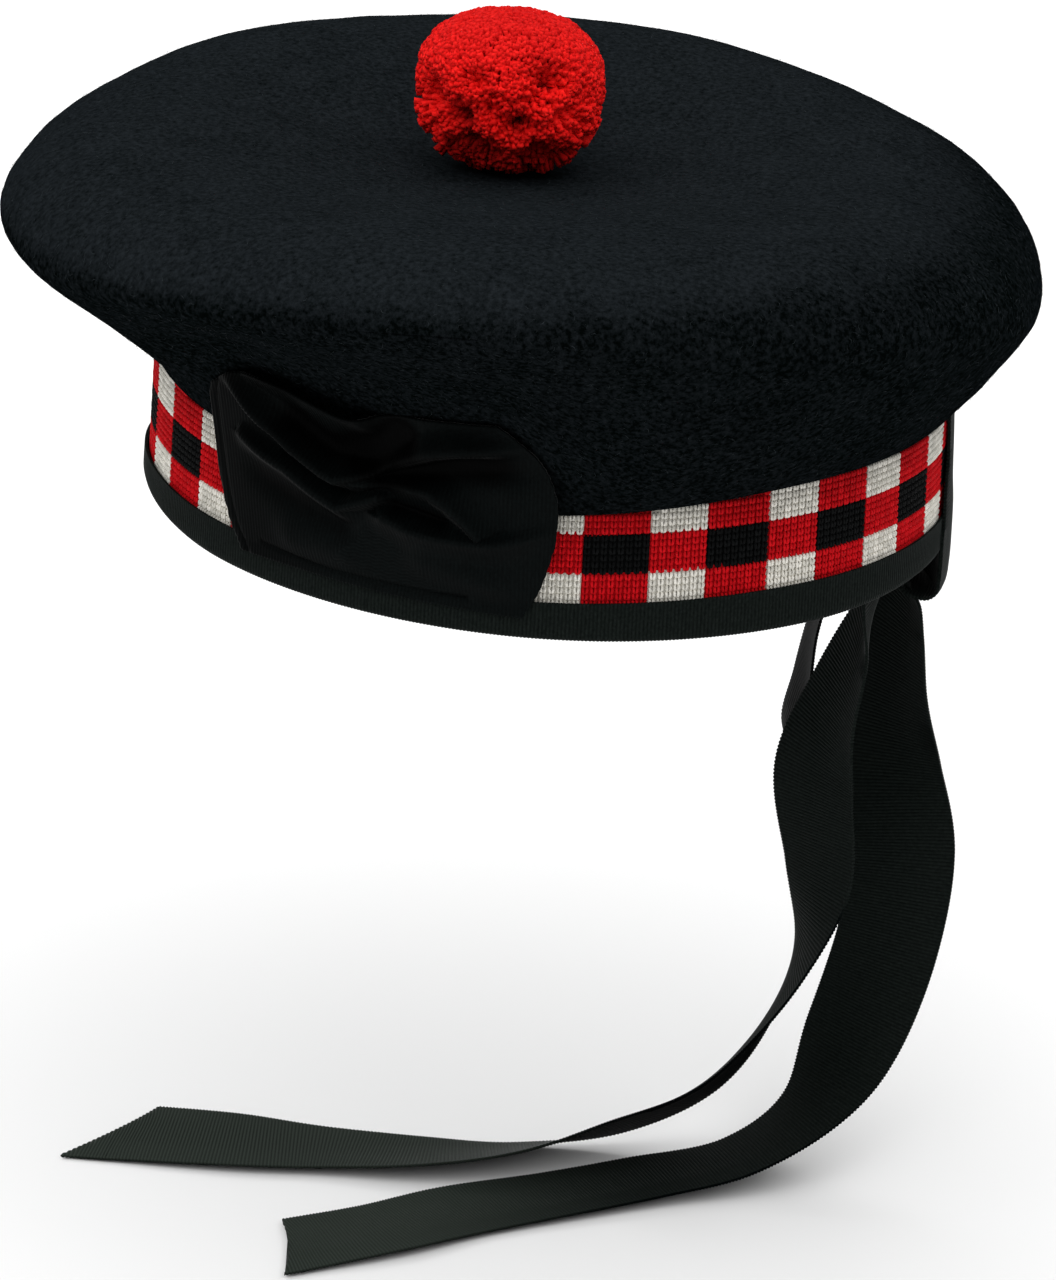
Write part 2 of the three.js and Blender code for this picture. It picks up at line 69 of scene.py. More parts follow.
MM = 0.001
TAU = 2 * math.pi
BODY = "root"
scene = bpy.context.scene
print("Blender", bpy.app.version_string)

# %% [markdown]
# The camera stands where the photographer stood: on the wearer's left, a little behind and above,
# far away with a long lens, and tipped three degrees. A camera could be aimed with a constraint,
# but three axis vectors written straight into its matrix say exactly where it looks.

# %% Camera at the photograph's angle
CAMERA_AZIMUTH = math.radians(97.0)
CAMERA_ELEVATION = math.radians(19.8)
CAMERA_ROLL = math.radians(3.0)
CAMERA_DISTANCE = 1.100
CAMERA_TARGET = Vector((0.0, -0.00215, -0.0338))
CAMERA_LENS = 126.5
SENSOR_HEIGHT = 36.0
FARTHEST = 20.0


def add_object(name, data):
    added = bpy.data.objects.new(name, data)
    scene.collection.objects.link(added)
    return added


def photo_camera():
    level = math.cos(CAMERA_ELEVATION)
    back = Vector((
        math.sin(CAMERA_AZIMUTH) * level, -math.cos(CAMERA_AZIMUTH) * level, math.sin(CAMERA_ELEVATION),
    ))
    right = Vector((math.cos(CAMERA_AZIMUTH), math.sin(CAMERA_AZIMUTH), 0.0))
    up = back.cross(right)
    tipped_right = right * math.cos(CAMERA_ROLL) + up * math.sin(CAMERA_ROLL)
    tipped_up = up * math.cos(CAMERA_ROLL) - right * math.sin(CAMERA_ROLL)
    lens = bpy.data.cameras.new("photo_camera")
    lens.sensor_fit = "VERTICAL"
    lens.sensor_height = SENSOR_HEIGHT
    lens.lens = CAMERA_LENS
    lens.clip_end = FARTHEST
    camera = add_object("photo_camera", lens)
    turned = Matrix((tipped_right, tipped_up, back)).transposed().to_4x4()
    camera.matrix_world = Matrix.Translation(CAMERA_TARGET + back * CAMERA_DISTANCE) @ turned
    scene.camera = camera
    return camera


camera = photo_camera()
print("camera stands at", [round(value, 3) for value in camera.matrix_world.translation])

# %% [markdown]
# Every cloth here is made from a grid of points, so a few helpers turn grids into meshes. A grid
# could be a Blender primitive that is pushed about, but numpy lets a rule place all points at once.
# Sizes are in millimetres in these rules, and become metres only where a mesh is made.

# %% Grids of points into meshes
TINY = 1e-9


def new_piece(name, points, faces):
    mesh = bpy.data.meshes.new(name)
    mesh.from_pydata((np.asarray(points, float) * MM).tolist(), [], faces)
    mesh.update()
    mesh.shade_smooth()
    return add_object(name, mesh)


def grid_quads(rows, columns, start=0, ring=False, flip=False):
    row = np.arange(rows - 1)[:, None]
    column = np.arange(columns if ring else columns - 1)[None, :]
    following = (column + 1) % columns
    corners = [row * columns + column, row * columns + following,
               (row + 1) * columns + following, (row + 1) * columns + column]
    quads = np.stack(corners, -1).reshape(-1, 4) + start
    return (quads[:, ::-1] if flip else quads).tolist()


def grid_normals(grid, ring=False):
    if ring:
        padded = np.concatenate([grid[:, -1:], grid, grid[:, :1]], axis=1)
        across = padded[:, 2:] - padded[:, :-2]
    else:
        across = np.gradient(grid, axis=1)
    normals = np.cross(across, np.gradient(grid, axis=0))
    return normals / np.maximum(np.linalg.norm(normals, axis=-1, keepdims=True), TINY)


def store_floats(piece, name, values):
    attribute = piece.data.attributes.new(name, "FLOAT", "POINT")
    attribute.data.foreach_set("value", np.asarray(values, np.float32).ravel())


def store_vectors(piece, name, values):
    attribute = piece.data.attributes.new(name, "FLOAT_VECTOR", "POINT")
    attribute.data.foreach_set("vector", np.asarray(values, np.float32).ravel())


print("a grid of 3 by 4 points has", len(grid_quads(3, 4)), "quads")

# %% [markdown]
# Cloth has a thickness, so a sheet is two skins that lie half of it to either side of a middle grid,
# joined round the edge. A Solidify modifier would do the same, but made this way the points of each
# skin are known, so that shade can be written on one side alone. Yarn is a closed tube of few sides.

# %% Sheets of cloth and tubes of yarn
UP = np.array([0.0, 0.0, 1.0])
SIDEWAYS = np.array([1.0, 0.0, 0.0])
STEEP = 0.9


# The same values for the points of a sheet's two skins.
def both_skins(values):
    return np.concatenate([values.ravel(), values.ravel()])


def cloth_sheet(name, middle, thickness, along, ring=False):
    rows, columns = middle.shape[:2]
    half = rows * columns
    normals = grid_normals(middle, ring)
    points = np.concatenate([middle + normals * thickness / 2, middle - normals * thickness / 2])
    faces = grid_quads(rows, columns, 0, ring)
    faces += grid_quads(rows, columns, half, ring, flip=True)
    last = (rows - 1) * columns
    for column in range(columns if ring else columns - 1):
        following = (column + 1) % columns
        faces.append([following, column, half + column, half + following])
        faces.append([last + column, last + following, half + last + following, half + last + column])
    if not ring:
        end = columns - 1
        for row in range(rows - 1):
            here = row * columns
            there = here + columns
            faces.append([here, there, half + there, half + here])
            faces.append([there + end, here + end, half + here + end, half + there + end])
    piece = new_piece(name, points.reshape(-1, 3), faces)
    store_floats(piece, "along", both_skins(along))
    return piece


# The tube passes through a short list of points, each with its own radius.
def yarn_tube(path, radii, sides):
    path = np.asarray(path, float)
    points = []
    faces = []
    for index, centre in enumerate(path):
        ahead = path[min(index + 1, len(path) - 1)] - path[max(index - 1, 0)]
        ahead /= np.linalg.norm(ahead)
        side = np.cross(ahead, UP if abs(ahead[2]) < STEEP else SIDEWAYS)
        side /= np.linalg.norm(side)
        other = np.cross(ahead, side)
        for step in range(sides):
            angle = TAU * (step + 0.5) / sides
            points.append(centre + radii[index] * (math.cos(angle) * side + math.sin(angle) * other))
    for index in range(len(path) - 1):
        here = index * sides
        for step in range(sides):
            following = (step + 1) % sides
            faces.append([here + step, here + following, here + sides + following, here + sides + step])
    faces.append(list(range(sides))[::-1])
    faces.append([(len(path) - 1) * sides + step for step in range(sides)])
    return points, faces


print("sheet and yarn helpers ready")

# %% [markdown]
# Geometry Nodes do the repeating work: stitches on the band, ribs on the ribbon, nap on the felt
# and yarn on the toorie. A tree is built from the script with named inputs, its modifier inputs are
# set by identifier, and the result is turned back into a plain mesh so that nothing stays live.

# %% Helpers for node trees


def start_tree(name, inputs):
    tree = bpy.data.node_groups.new(name, "GeometryNodeTree")
    tree.interface.new_socket("Geometry", in_out="INPUT", socket_type="NodeSocketGeometry")
    for label, kind in inputs.items():
        tree.interface.new_socket(label, in_out="INPUT", socket_type="NodeSocket" + kind)
    tree.interface.new_socket("Geometry", in_out="OUTPUT", socket_type="NodeSocketGeometry")
    return tree, tree.nodes.new("NodeGroupInput").outputs


def add_node(tree, kind, settings=None, links=None):
    node = tree.nodes.new(kind)
    for label, value in (settings or {}).items():
        setattr(node, label, value)
    for socket, value in (links or {}).items():
        target = node.inputs[socket]
        if isinstance(value, bpy.types.NodeSocket):
            tree.links.new(value, target)
        else:
            target.default_value = value
    return node


def attribute_field(tree, name, kind):
    node = add_node(tree, "GeometryNodeInputNamedAttribute", {"data_type": kind}, {"Name": name})
    return node.outputs["Attribute"]


def math_field(tree, operation, first, second=0.0):
    return add_node(tree, "ShaderNodeMath", {"operation": operation}, {0: first, 1: second}).outputs[0]


# Every tree ends the same way: real geometry, one material, one output.
def end_tree(tree, geometry, material):
    real = add_node(tree, "GeometryNodeRealizeInstances", None, {"Geometry": geometry})
    painted = add_node(tree, "GeometryNodeSetMaterial", None, {
        "Geometry": real.outputs["Geometry"], "Material": material,
    })
    output = tree.nodes.new("NodeGroupOutput")
    tree.links.new(painted.outputs["Geometry"], output.inputs["Geometry"])
    return tree


print("node helpers ready")

# %% [markdown]
# A tree works on a piece as a modifier. What it makes is kept as a plain mesh, and the modifier is
# taken off again. A finished piece is then settled: it rides on the bonnet's one body, and the
# imported solids it stands for are hidden.

# %% Helpers that finish a piece


def triangle_count(piece):
    piece.data.calc_loop_triangles()
    return len(piece.data.loop_triangles)


def apply_tree(piece, tree, values):
    modifier = piece.modifiers.new(tree.name, "NODES")
    modifier.node_group = tree
    for item in tree.interface.items_tree:
        if item.in_out == "INPUT" and item.name in values:
            modifier[item.identifier] = values[item.name]
    bpy.context.view_layer.update()
    graph = bpy.context.evaluated_depsgraph_get()
    mesh = bpy.data.meshes.new_from_object(piece.evaluated_get(graph))
    piece.modifiers.remove(modifier)
    bare = piece.data
    piece.data = mesh
    bpy.data.meshes.remove(bare)
    mesh.name = piece.name
    print(piece.name, "has", triangle_count(piece), "triangles")
    return piece


def settle(piece, slot, *nodes):
    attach(piece, BODY)
    if nodes:
        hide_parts(*nodes)
    return piece


print("pieces will ride on", BODY)

# %% [markdown]
# The finishes come next. An even colour would look like paint, so each finish mixes two colours by a
# fine noise on Object coordinates and takes a little bump from the same noise. What only the shape
# knows rides on the mesh as an attribute: painted light where felt faces up and forward, a tone for
# each yarn, painted shade in folds, pits and under things, painted shade in the grooves between ribs,
# and where a tail lies on the floor, which is painted paler there as a reflection of the floor.

# %% Helpers for finishes


def start_finish(name, values):
    material = bpy.data.materials.new(name)
    material.use_nodes = True
    shader = material.node_tree.nodes["Principled BSDF"]
    for label, value in values.items():
        shader.inputs[label].default_value = value
    return material, shader


def noise_field(tree, scale, detail, roughness=0.55):
    place = add_node(tree, "ShaderNodeTexCoord")
    return add_node(tree, "ShaderNodeTexNoise", None, {
        "Vector": place.outputs["Object"], "Scale": scale, "Detail": detail, "Roughness": roughness,
    }).outputs["Fac"]


def mesh_value(tree, attribute):
    return add_node(tree, "ShaderNodeAttribute", {"attribute_name": attribute}).outputs["Fac"]


def weighted_sum(tree, parts):
    total = 0.0
    for field, weight in parts:
        total = math_field(tree, "ADD", total, math_field(tree, "MULTIPLY", field, weight))
    return total


def two_colours(tree, factor, dark, light, low=0.3, high=0.7):
    ramp = add_node(tree, "ShaderNodeValToRGB", None, {"Fac": factor})
    for element, position, colour in zip(ramp.color_ramp.elements, (low, high), (dark, light)):
        element.position = position
        element.color = colour
    return ramp.outputs["Color"]


# Mixes a colour towards another by one of the mesh's own attributes.
def mixed_by(tree, attribute, share, colour, other):
    factor = math_field(tree, "MULTIPLY", mesh_value(tree, attribute), share)
    return add_node(tree, "ShaderNodeMix", {"data_type": "RGBA"}, {
        "Factor": factor, 6: colour, 7: other,
    }).outputs[2]


def add_bump(tree, shader, height, strength, distance):
    bump = add_node(tree, "ShaderNodeBump", None, {
        "Height": height, "Strength": strength, "Distance": distance,
    })
    tree.links.new(bump.outputs["Normal"], shader.inputs["Normal"])


print("finish helpers ready")

# %% [markdown]
# Felt is milled wool: dark, dull, clouded and grainy, and painted light makes it paler where it
# faces up and forward. Yarn is wool too, rough and soft, and each yarn has a tone of its own, which
# painted shade can mix towards black. Both get their depth from small noises, because a gloss or a
# strong sheen would turn wool into satin.

# %% Finishes of felt and yarn
FELT_DARK = (0.0007, 0.0013, 0.0012, 1.0)
FELT_LIGHT = (0.0120, 0.0148, 0.0172, 1.0)
FELT_GRAIN = (750.0, 4.0, 0.7)
FELT_CLOUD = (70.0, 3.0)
GRAIN_WEIGHT = 0.85
CLOUD_WEIGHT = 0.15
PAINTED_LIGHT_WEIGHT = 0.15
FELT_RANGE = (0.42, 0.82)
FELT_BUMP = (0.5, 0.0005)
NAP_COLOURS = ((0.003, 0.004, 0.0045, 1.0), (0.036, 0.045, 0.050, 1.0))
YARN_WHITE = ((0.60, 0.58, 0.52, 1.0), (0.86, 0.83, 0.76, 1.0))
YARN_RED = ((0.42, 0.0024, 0.0055, 1.0), (0.60, 0.0048, 0.0095, 1.0))
YARN_BLACK = ((0.0012, 0.0014, 0.0015, 1.0), (0.0036, 0.0040, 0.0042, 1.0))
TOORIE_RED = ((0.72, 0.0058, 0.0058, 1.0), (0.97, 0.0148, 0.0116, 1.0))
YARN_FIBRE = (2200.0, 2.0)
SHADE_WEIGHT = 0.55
FIBRE_WEIGHT = 0.45
YARN_RANGE = (0.2, 0.8)
YARN_BUMP = (0.4, 0.0003)
WHITE_SHEEN = 0.05
PAINTED_SHADE_BLACK = (0.0, 0.0, 0.0, 1.0)
PAINTED_SHADE_SHARE = 0.94


def felt_finish():
    material, shader = start_finish("milled_felt", {"Roughness": 0.95, "Specular IOR Level": 0.0})
    tree = material.node_tree
    grain = noise_field(tree, *FELT_GRAIN)
    cloud = noise_field(tree, *FELT_CLOUD)
    # Painted light: the felt is painted paler where it faces up and forward.
    bloom = mesh_value(tree, "bloom")
    mixed = weighted_sum(tree, ((grain, GRAIN_WEIGHT), (cloud, CLOUD_WEIGHT), (bloom, PAINTED_LIGHT_WEIGHT)))
    tree.links.new(two_colours(tree, mixed, FELT_DARK, FELT_LIGHT, *FELT_RANGE), shader.inputs["Base Color"])
    add_bump(tree, shader, grain, *FELT_BUMP)
    return material


def yarn_finish(name, colours, sheen=0.0):
    material, shader = start_finish(name, {
        "Roughness": 0.9, "Specular IOR Level": 0.08, "Sheen Weight": sheen, "Sheen Roughness": 0.5,
    })
    tree = material.node_tree
    fibre = noise_field(tree, *YARN_FIBRE)
    mixed = weighted_sum(tree, ((mesh_value(tree, "shade"), SHADE_WEIGHT), (fibre, FIBRE_WEIGHT)))
    dyed = two_colours(tree, mixed, *colours, *YARN_RANGE)
    # Painted shade: an attribute on the mesh mixes the dye towards black.
    tree.links.new(mixed_by(tree, "deep", PAINTED_SHADE_SHARE, dyed, PAINTED_SHADE_BLACK), shader.inputs["Base Color"])
    add_bump(tree, shader, fibre, *YARN_BUMP)
    return material


felt = felt_finish()
nap = yarn_finish("felt_nap", NAP_COLOURS)
yarns = {
    "white": yarn_finish("white_yarn", YARN_WHITE, WHITE_SHEEN),
    "red": yarn_finish("red_yarn", YARN_RED),
    "black": yarn_finish("black_yarn", YARN_BLACK),
}
toorie_yarn = yarn_finish("toorie_yarn", TOORIE_RED)
print("wool finishes:", [material.name for material in (felt, nap, *yarns.values(), toorie_yarn)])

# %% [markdown]
# Ribbon is black, with painted shade in the grooves between its ribs, and faintly silky where light
# grazes it. Where its tails lie on the floor they are painted paler, as a painted reflection of the
# floor, and its folds and undersides get painted shade. The silk is the shader's sheen, which must be
# one number for a whole finish, so ribbon that turns into its own shade passes through a few finishes,
# each painted darker and with a little less sheen than the one before. The cockade and the loop wear
# a copy painted darker, as shade.

# %% Finishes of ribbon
RIBBON_BLACK = ((0.0044, 0.0063, 0.0055, 1.0), (0.0106, 0.0139, 0.0124, 1.0))
SHADE_PAINTED_BLACK = ((0.0010, 0.0018, 0.0018, 1.0), (0.0029, 0.0045, 0.0045, 1.0))
RIBBON_PAINTED_REFLECTION = (0.0297, 0.0373, 0.0313, 1.0)
RIBBON_THREAD = (1500.0, 3.0)
RIBBON_BUMP = (0.25, 0.0002)
GROOVE_SHADE_SHARE = 0.5
RIBBON_GLOSS = 0.015
RIBBON_SHEEN = 0.12
DULL_GLOSS = 0.03
DULL_SHEEN = 0.05
SHADED_GLOSS = 0.005
SHADE_STEPS = 5


def ribbon_finish(name, colours, gloss, sheen):
    material, shader = start_finish(name, {
        "Roughness": 0.6, "Specular IOR Level": gloss, "Sheen Weight": sheen, "Sheen Roughness": 0.25,
    })
    tree = material.node_tree
    thread = noise_field(tree, *RIBBON_THREAD)
    # Painted reflection: ribbon that lies on the floor is painted paler.
    floor_reflecting = mixed_by(tree, "lying", 1.0, two_colours(tree, thread, *colours), RIBBON_PAINTED_REFLECTION)
    # Painted shade in folds and under things mixes the colour towards black.
    folded = mixed_by(tree, "deep", PAINTED_SHADE_SHARE, floor_reflecting, PAINTED_SHADE_BLACK)
    # Painted shade in the grooves between the ribs.
    ribs = mixed_by(tree, "groove", GROOVE_SHADE_SHARE, folded, PAINTED_SHADE_BLACK)
    tree.links.new(ribs, shader.inputs["Base Color"])
    add_bump(tree, shader, thread, *RIBBON_BUMP)
    return material


# The first of these finishes is nearly that of open ribbon, the last is painted darkest, as shade, and has
# no sheen.
def shaded_finish(step):
    share = step / SHADE_STEPS
    colours = np.array(RIBBON_BLACK) * (1 - share) + np.array(SHADE_PAINTED_BLACK) * share
    gloss = RIBBON_GLOSS * (1 - share) + SHADED_GLOSS * share
    return ribbon_finish("shaded_grosgrain_" + str(step), colours, gloss, RIBBON_SHEEN * (1 - share))


ribbon = ribbon_finish("grosgrain_ribbon", RIBBON_BLACK, RIBBON_GLOSS, RIBBON_SHEEN)
# Painted shade: a copy of the ribbon finish in darker colours, for ribbon that lies in shade.
shade_painted_ribbon = ribbon_finish("dull_grosgrain", SHADE_PAINTED_BLACK, DULL_GLOSS, DULL_SHEEN)
shaded_ribbons = [shaded_finish(step + 1) for step in range(SHADE_STEPS)]
print("ribbon finishes:", [material.name for material in (ribbon, shade_painted_ribbon, *shaded_ribbons)])

# %% [markdown]
# The bonnet's outline is one short table: eight places round the head, from the wearer's left
# towards the back, each with the heights of the lower edge, of the binding's top and of the crown's
# foot, and with the reach and height of the crown's widest edge. A smooth closed curve reads any
# column between those places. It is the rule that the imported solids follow, so the cloth fits them.

# %% Outline of the bonnet
COLUMNS = ("rim", "bound", "foot", "neck", "reach", "height", "puff")
BONNET_ROWS = (
    (-2.2, 5.9, 26.0, 3.0, 137.5, 78.5, 0.0),    # left
    (-0.4, 9.0, 32.5, 3.0, 127.5, 73.0, 0.0),    # back left
    (3.0, 11.0, 35.5, 3.0, 115.0, 62.0, 0.0),    # back
    (0.5, 9.0, 33.0, 3.0, 122.0, 69.0, 2.0),     # back right
    (-2.0, 6.5, 30.0, 3.0, 135.0, 78.0, 6.0),    # right
    (1.5, 9.5, 34.0, 6.0, 136.0, 79.0, 6.0),     # front right
    (7.0, 13.5, 40.0, 10.0, 131.0, 73.5, 2.0),   # front
    (0.4, 8.9, 32.5, 8.0, 134.5, 71.5, 0.0),     # front left
)
BAND_HALF_LENGTH = 96.4
BAND_HALF_WIDTH = 84.0
BAND_EGG = 0.06
BAND_TOP_SCALE = 0.99
BAND_TAPER_HEIGHT = 33.0
SMALL_TURN = 0.001


def around(turn, column):
    values = np.array([row[COLUMNS.index(column)] for row in BONNET_ROWS])
    place = np.mod(np.asarray(turn) / TAU, 1.0) * len(values)
    first = np.floor(place).astype(int)
    part = place - first
    before, here, there, beyond = (values[(first + step) % len(values)] for step in (-1, 0, 1, 2))
    cubic = part * (3 * (here - there) + beyond - before)
    square = part * (2 * before - 5 * here + 4 * there - beyond + cubic)
    return here + 0.5 * part * (there - before + square)


def band_oval(turn, scale):
    wide = BAND_HALF_WIDTH * (1 + BAND_EGG * np.sin(turn)) * np.cos(turn) * scale
    return np.stack([wide, BAND_HALF_LENGTH * np.sin(turn) * scale], -1)


# A point on the band's outer face at a turn and height, moved out along its level normal.
def band_point(turn, height, out):
    turn, height, out = np.broadcast_arrays(*(np.asarray(value, float) for value in (turn, height, out)))
    scale = 1 - (1 - BAND_TOP_SCALE) * np.clip(height / BAND_TAPER_HEIGHT, 0, 1)
    here = band_oval(turn, scale)
    ahead = band_oval(turn + SMALL_TURN, scale) - band_oval(turn - SMALL_TURN, scale)
    ahead /= np.linalg.norm(ahead, axis=-1, keepdims=True)
    return np.stack([here[..., 0] + ahead[..., 1] * out, here[..., 1] - ahead[..., 0] * out, height], -1)


print("lower edge at the back is", float(around(math.pi / 2, "rim")), "mm up")

# %% [markdown]
# Stitches and ribs are counted by distance along the band, not by angle, because an oval's angles
# bunch up at its ends. A fine walk round the oval gives the distance at every turn, and reading the
# same list the other way gives the turn at every distance.

# %% Distances round the band
FINE_TURNS = np.linspace(-TAU, TAU, 8001)
FINE_STEPS = np.linalg.norm(np.diff(band_oval(FINE_TURNS, 1.0), axis=0), axis=1)
FINE_PATH = np.concatenate([[0.0], np.cumsum(FINE_STEPS)])
FINE_PATH -= np.interp(0.0, FINE_TURNS, FINE_PATH)
BAND_GIRTH = float(np.interp(TAU, FINE_TURNS, FINE_PATH))


def turn_at(distance):
    return np.interp(distance, FINE_PATH, FINE_TURNS)


def distance_at(turn):
    return np.interp(turn, FINE_TURNS, FINE_PATH)


print("band girth", round(BAND_GIRTH, 1), "mm")

# %% [markdown]
# The crown is one soft felt shell: it climbs from the band, swings out to a wide edge, rolls over
# and sinks to a dimple under the toorie. A lathe would make it too regular, so each turn has its own
# curve out of the table. Below the edge that curve has four points: the foot, two guides and the edge.
# Behind the cockade the guides are pressed in.

# %% Underside of the crown
CROWN_FOOT_OUT = 0.3
COCKADE_TURN = math.radians(-16.5)
PRESS_HALF_TURN = math.radians(40.0)
PRESS_GAIN = 1.7
PRESSED_LOW = (1.0, 24.0)
PRESSED_HIGH = (20.0, 33.0)
TUCK_WIDE = 0.26
TUCK_LOSS = 0.024
HIGH_OUT = 0.92
HIGH_UP = 0.84


def blend(first, second, share):
    return first + (second - first) * share


def eased(share):
    share = np.clip(share, 0, 1)
    return share * share * (3 - 2 * share)


def pressed_in(turn):
    away = np.abs(np.mod(turn - COCKADE_TURN + math.pi, TAU) - math.pi)
    return np.minimum(eased(1 - away / PRESS_HALF_TURN) * PRESS_GAIN, 1)


def crown_under(turn, share):
    foot = band_point(turn, around(turn, "foot"), CROWN_FOOT_OUT)
    reach = around(turn, "reach")
    edge = np.stack([reach * np.cos(turn), reach * np.sin(turn), around(turn, "height")], -1)
    span = edge - foot
    flare = np.linalg.norm(span[:, :2], axis=1)
    level = np.concatenate([span[:, :2] / flare[:, None], np.zeros((len(turn), 1))], axis=1)
    neck = around(turn, "neck")
    press = pressed_in(turn)
    tuck = (TUCK_WIDE - TUCK_LOSS * neck) * flare
    low = foot + level * blend(tuck, PRESSED_LOW[0], press)[:, None]
    low = low + UP * blend(neck, PRESSED_LOW[1], press)[:, None]
    high = foot + level * blend(HIGH_OUT * flare, PRESSED_HIGH[0], press)[:, None]
    high = high + UP * blend(HIGH_UP * span[:, 2], PRESSED_HIGH[1], press)[:, None]
    share = share[:, None, None]
    rest = 1 - share
    return rest ** 3 * foot + 3 * rest ** 2 * share * low + 3 * rest * share ** 2 * high + share ** 3 * edge


print("edge at the wearer's left:", crown_under(np.zeros(1), np.ones(1))[0, 0].round(1), "mm")

# %% [markdown]
# Above the edge every turn runs in to one pole, a little off the middle, where the toorie sits in its
# dimple. Powers of a quarter wave give a fuller shoulder than an ellipse would. Underside and top would
# meet in a crease, so a few passes draw the rows there towards their neighbours, as felt rolls over.

# %% Top of the crown
CROWN_TOP = 100.5
CROWN_DISH = 16.5
POLE = np.array([6.0, -12.5, CROWN_TOP - CROWN_DISH])
POLE_DRIFT = 1.3
SHOULDER_ROUND = 3.0
SHOULDER_RISE = 2.05
CROWN_AROUND = 240
CROWN_TURNS = np.arange(CROWN_AROUND) / CROWN_AROUND * TAU
ROLL_ROWS = 9
ROLL_PASSES = 14
ROLL_PULL = 0.5


def crown_over(turn, share):
    lift = share[:, None] * math.pi / 2
    ring = np.cos(lift) ** (2 / SHOULDER_ROUND)
    rise = np.sin(lift) ** (2 / SHOULDER_RISE)
    inward = (1 - ring) ** POLE_DRIFT
    hollow = CROWN_DISH * (1 - ring ** 2) ** 2
    swell = around(turn, "puff") * 4 * ring ** 2 * (1 - ring ** 2)
    reach = around(turn, "reach")
    height = around(turn, "height")
    return np.stack([
        reach * np.cos(turn) * ring + POLE[0] * inward,
        reach * np.sin(turn) * ring + POLE[1] * inward,
        height + (CROWN_TOP - height) * rise - hollow + swell,
    ], -1)


def crown_grid(under, over):
    below = crown_under(CROWN_TURNS, np.linspace(0, 1, under + 1))
    above = crown_over(CROWN_TURNS, np.linspace(0, 1, over + 1)[1:-1])
    return np.concatenate([below, above])


def rolled_edge(grid, edge_row):
    away = np.abs(np.arange(len(grid)) - edge_row)
    weight = np.clip(1 - away / ROLL_ROWS, 0, 1)[:, None, None] * ROLL_PULL
    for roll in range(ROLL_PASSES):
        between = (np.roll(grid, 1, axis=0) + np.roll(grid, -1, axis=0)) / 2
        grid = grid + (between - grid) * weight
    return grid


print("pole in the dimple:", POLE, "mm")

# %% [markdown]
# The shell has an outer skin with the slight swells and lumps of worn felt, which come from a smooth
# noise, and a plainer inner skin at the felt's thickness. A lip closes the foot and a fan each pole.
# Outer faces are marked for the nap, and what faces up and forward is painted paler, as painted light.

# %% Felt crown
FELT_WALL = 2.4
OUTER_ROWS = (34, 44)
INNER_ROWS = (10, 14)
SWELL_HEIGHT = 0.9
SWELL_SIZE = 34.0
LUMP_HEIGHT = 0.22
LUMP_SIZE = 9.0
CALM_ROWS = 8.0
LIP_DROP = 0.25
PAINTED_LIGHT_FROM = np.array([0.0, -0.5, 0.866])
PAINTED_LIGHT_RANGE = (0.45, 0.85)


def eased_between(value, ends):
    return eased((value - ends[0]) / (ends[1] - ends[0]))


def soft_noise(points, size):
    flat = points.reshape(-1, 3) / size
    return np.array([noise.noise(Vector(point)) for point in flat]).reshape(points.shape[:-1])


def outer_felt():
    grid = rolled_edge(crown_grid(*OUTER_ROWS), OUTER_ROWS[0])
    normals = grid_normals(grid, ring=True)
    calm = np.clip(np.arange(len(grid)) / CALM_ROWS, 0, 1)[:, None]
    bump = SWELL_HEIGHT * soft_noise(grid, SWELL_SIZE) + LUMP_HEIGHT * soft_noise(grid, LUMP_SIZE)
    return grid + normals * (bump * calm)[..., None], normals


def inner_felt():
    grid = crown_grid(*INNER_ROWS)
    grid = grid - grid_normals(grid, ring=True) * FELT_WALL
    grid[0] = band_point(CROWN_TURNS, around(CROWN_TURNS, "foot"), CROWN_FOOT_OUT - FELT_WALL)
    return grid


def felt_crown():
    outer, normals = outer_felt()
    inner = inner_felt()
    lip = band_point(CROWN_TURNS, around(CROWN_TURNS, "foot") - LIP_DROP, CROWN_FOOT_OUT - FELT_WALL / 2)
    poles = [POLE, POLE - FELT_WALL * UP]
    points = np.concatenate([outer.reshape(-1, 3), inner.reshape(-1, 3), lip, poles])
    inner_start = len(outer) * CROWN_AROUND
    lip_start = inner_start + len(inner) * CROWN_AROUND
    pole_at = len(points) - 2
    outer_top = inner_start - CROWN_AROUND
    inner_top = lip_start - CROWN_AROUND
    steps = [(step, (step + 1) % CROWN_AROUND) for step in range(CROWN_AROUND)]
    faces = grid_quads(len(outer), CROWN_AROUND, ring=True)
    faces += [[outer_top + step, outer_top + following, pole_at] for step, following in steps]
    outside = len(faces)
    faces += grid_quads(len(inner), CROWN_AROUND, inner_start, ring=True, flip=True)
    for step, following in steps:
        faces.append([inner_top + following, inner_top + step, pole_at + 1])
        faces.append([following, step, lip_start + step, lip_start + following])
        faces.append([lip_start + following, lip_start + step, inner_start + step, inner_start + following])
    piece = new_piece("felt_crown", points, faces)
    marks = piece.data.attributes.new("outer", "BOOLEAN", "FACE")
    marks.data.foreach_set("value", np.arange(len(faces)) < outside)
    # Painted light: felt that faces up and forward is painted paler, felt that faces down darker.
    bloom = np.zeros(len(points))
    bloom[:inner_start] = eased_between((normals @ PAINTED_LIGHT_FROM).ravel(), PAINTED_LIGHT_RANGE)
    bloom[pole_at] = 1.0
    store_floats(piece, "bloom", bloom)
    piece.data.materials.append(felt)
    return piece


crown = settle(felt_crown(), "felt", "crown")
print(crown.name, "has", triangle_count(crown), "triangles")

# %% [markdown]
# Fibres, stitches and yarns are all copies of one small pattern that a node tree sets on points. Copies
# that are all alike would look printed, so random fields with fixed seeds turn and size them, and every
# copy carries a shade of its own, between 0 and 1, for the yarn finishes to read.

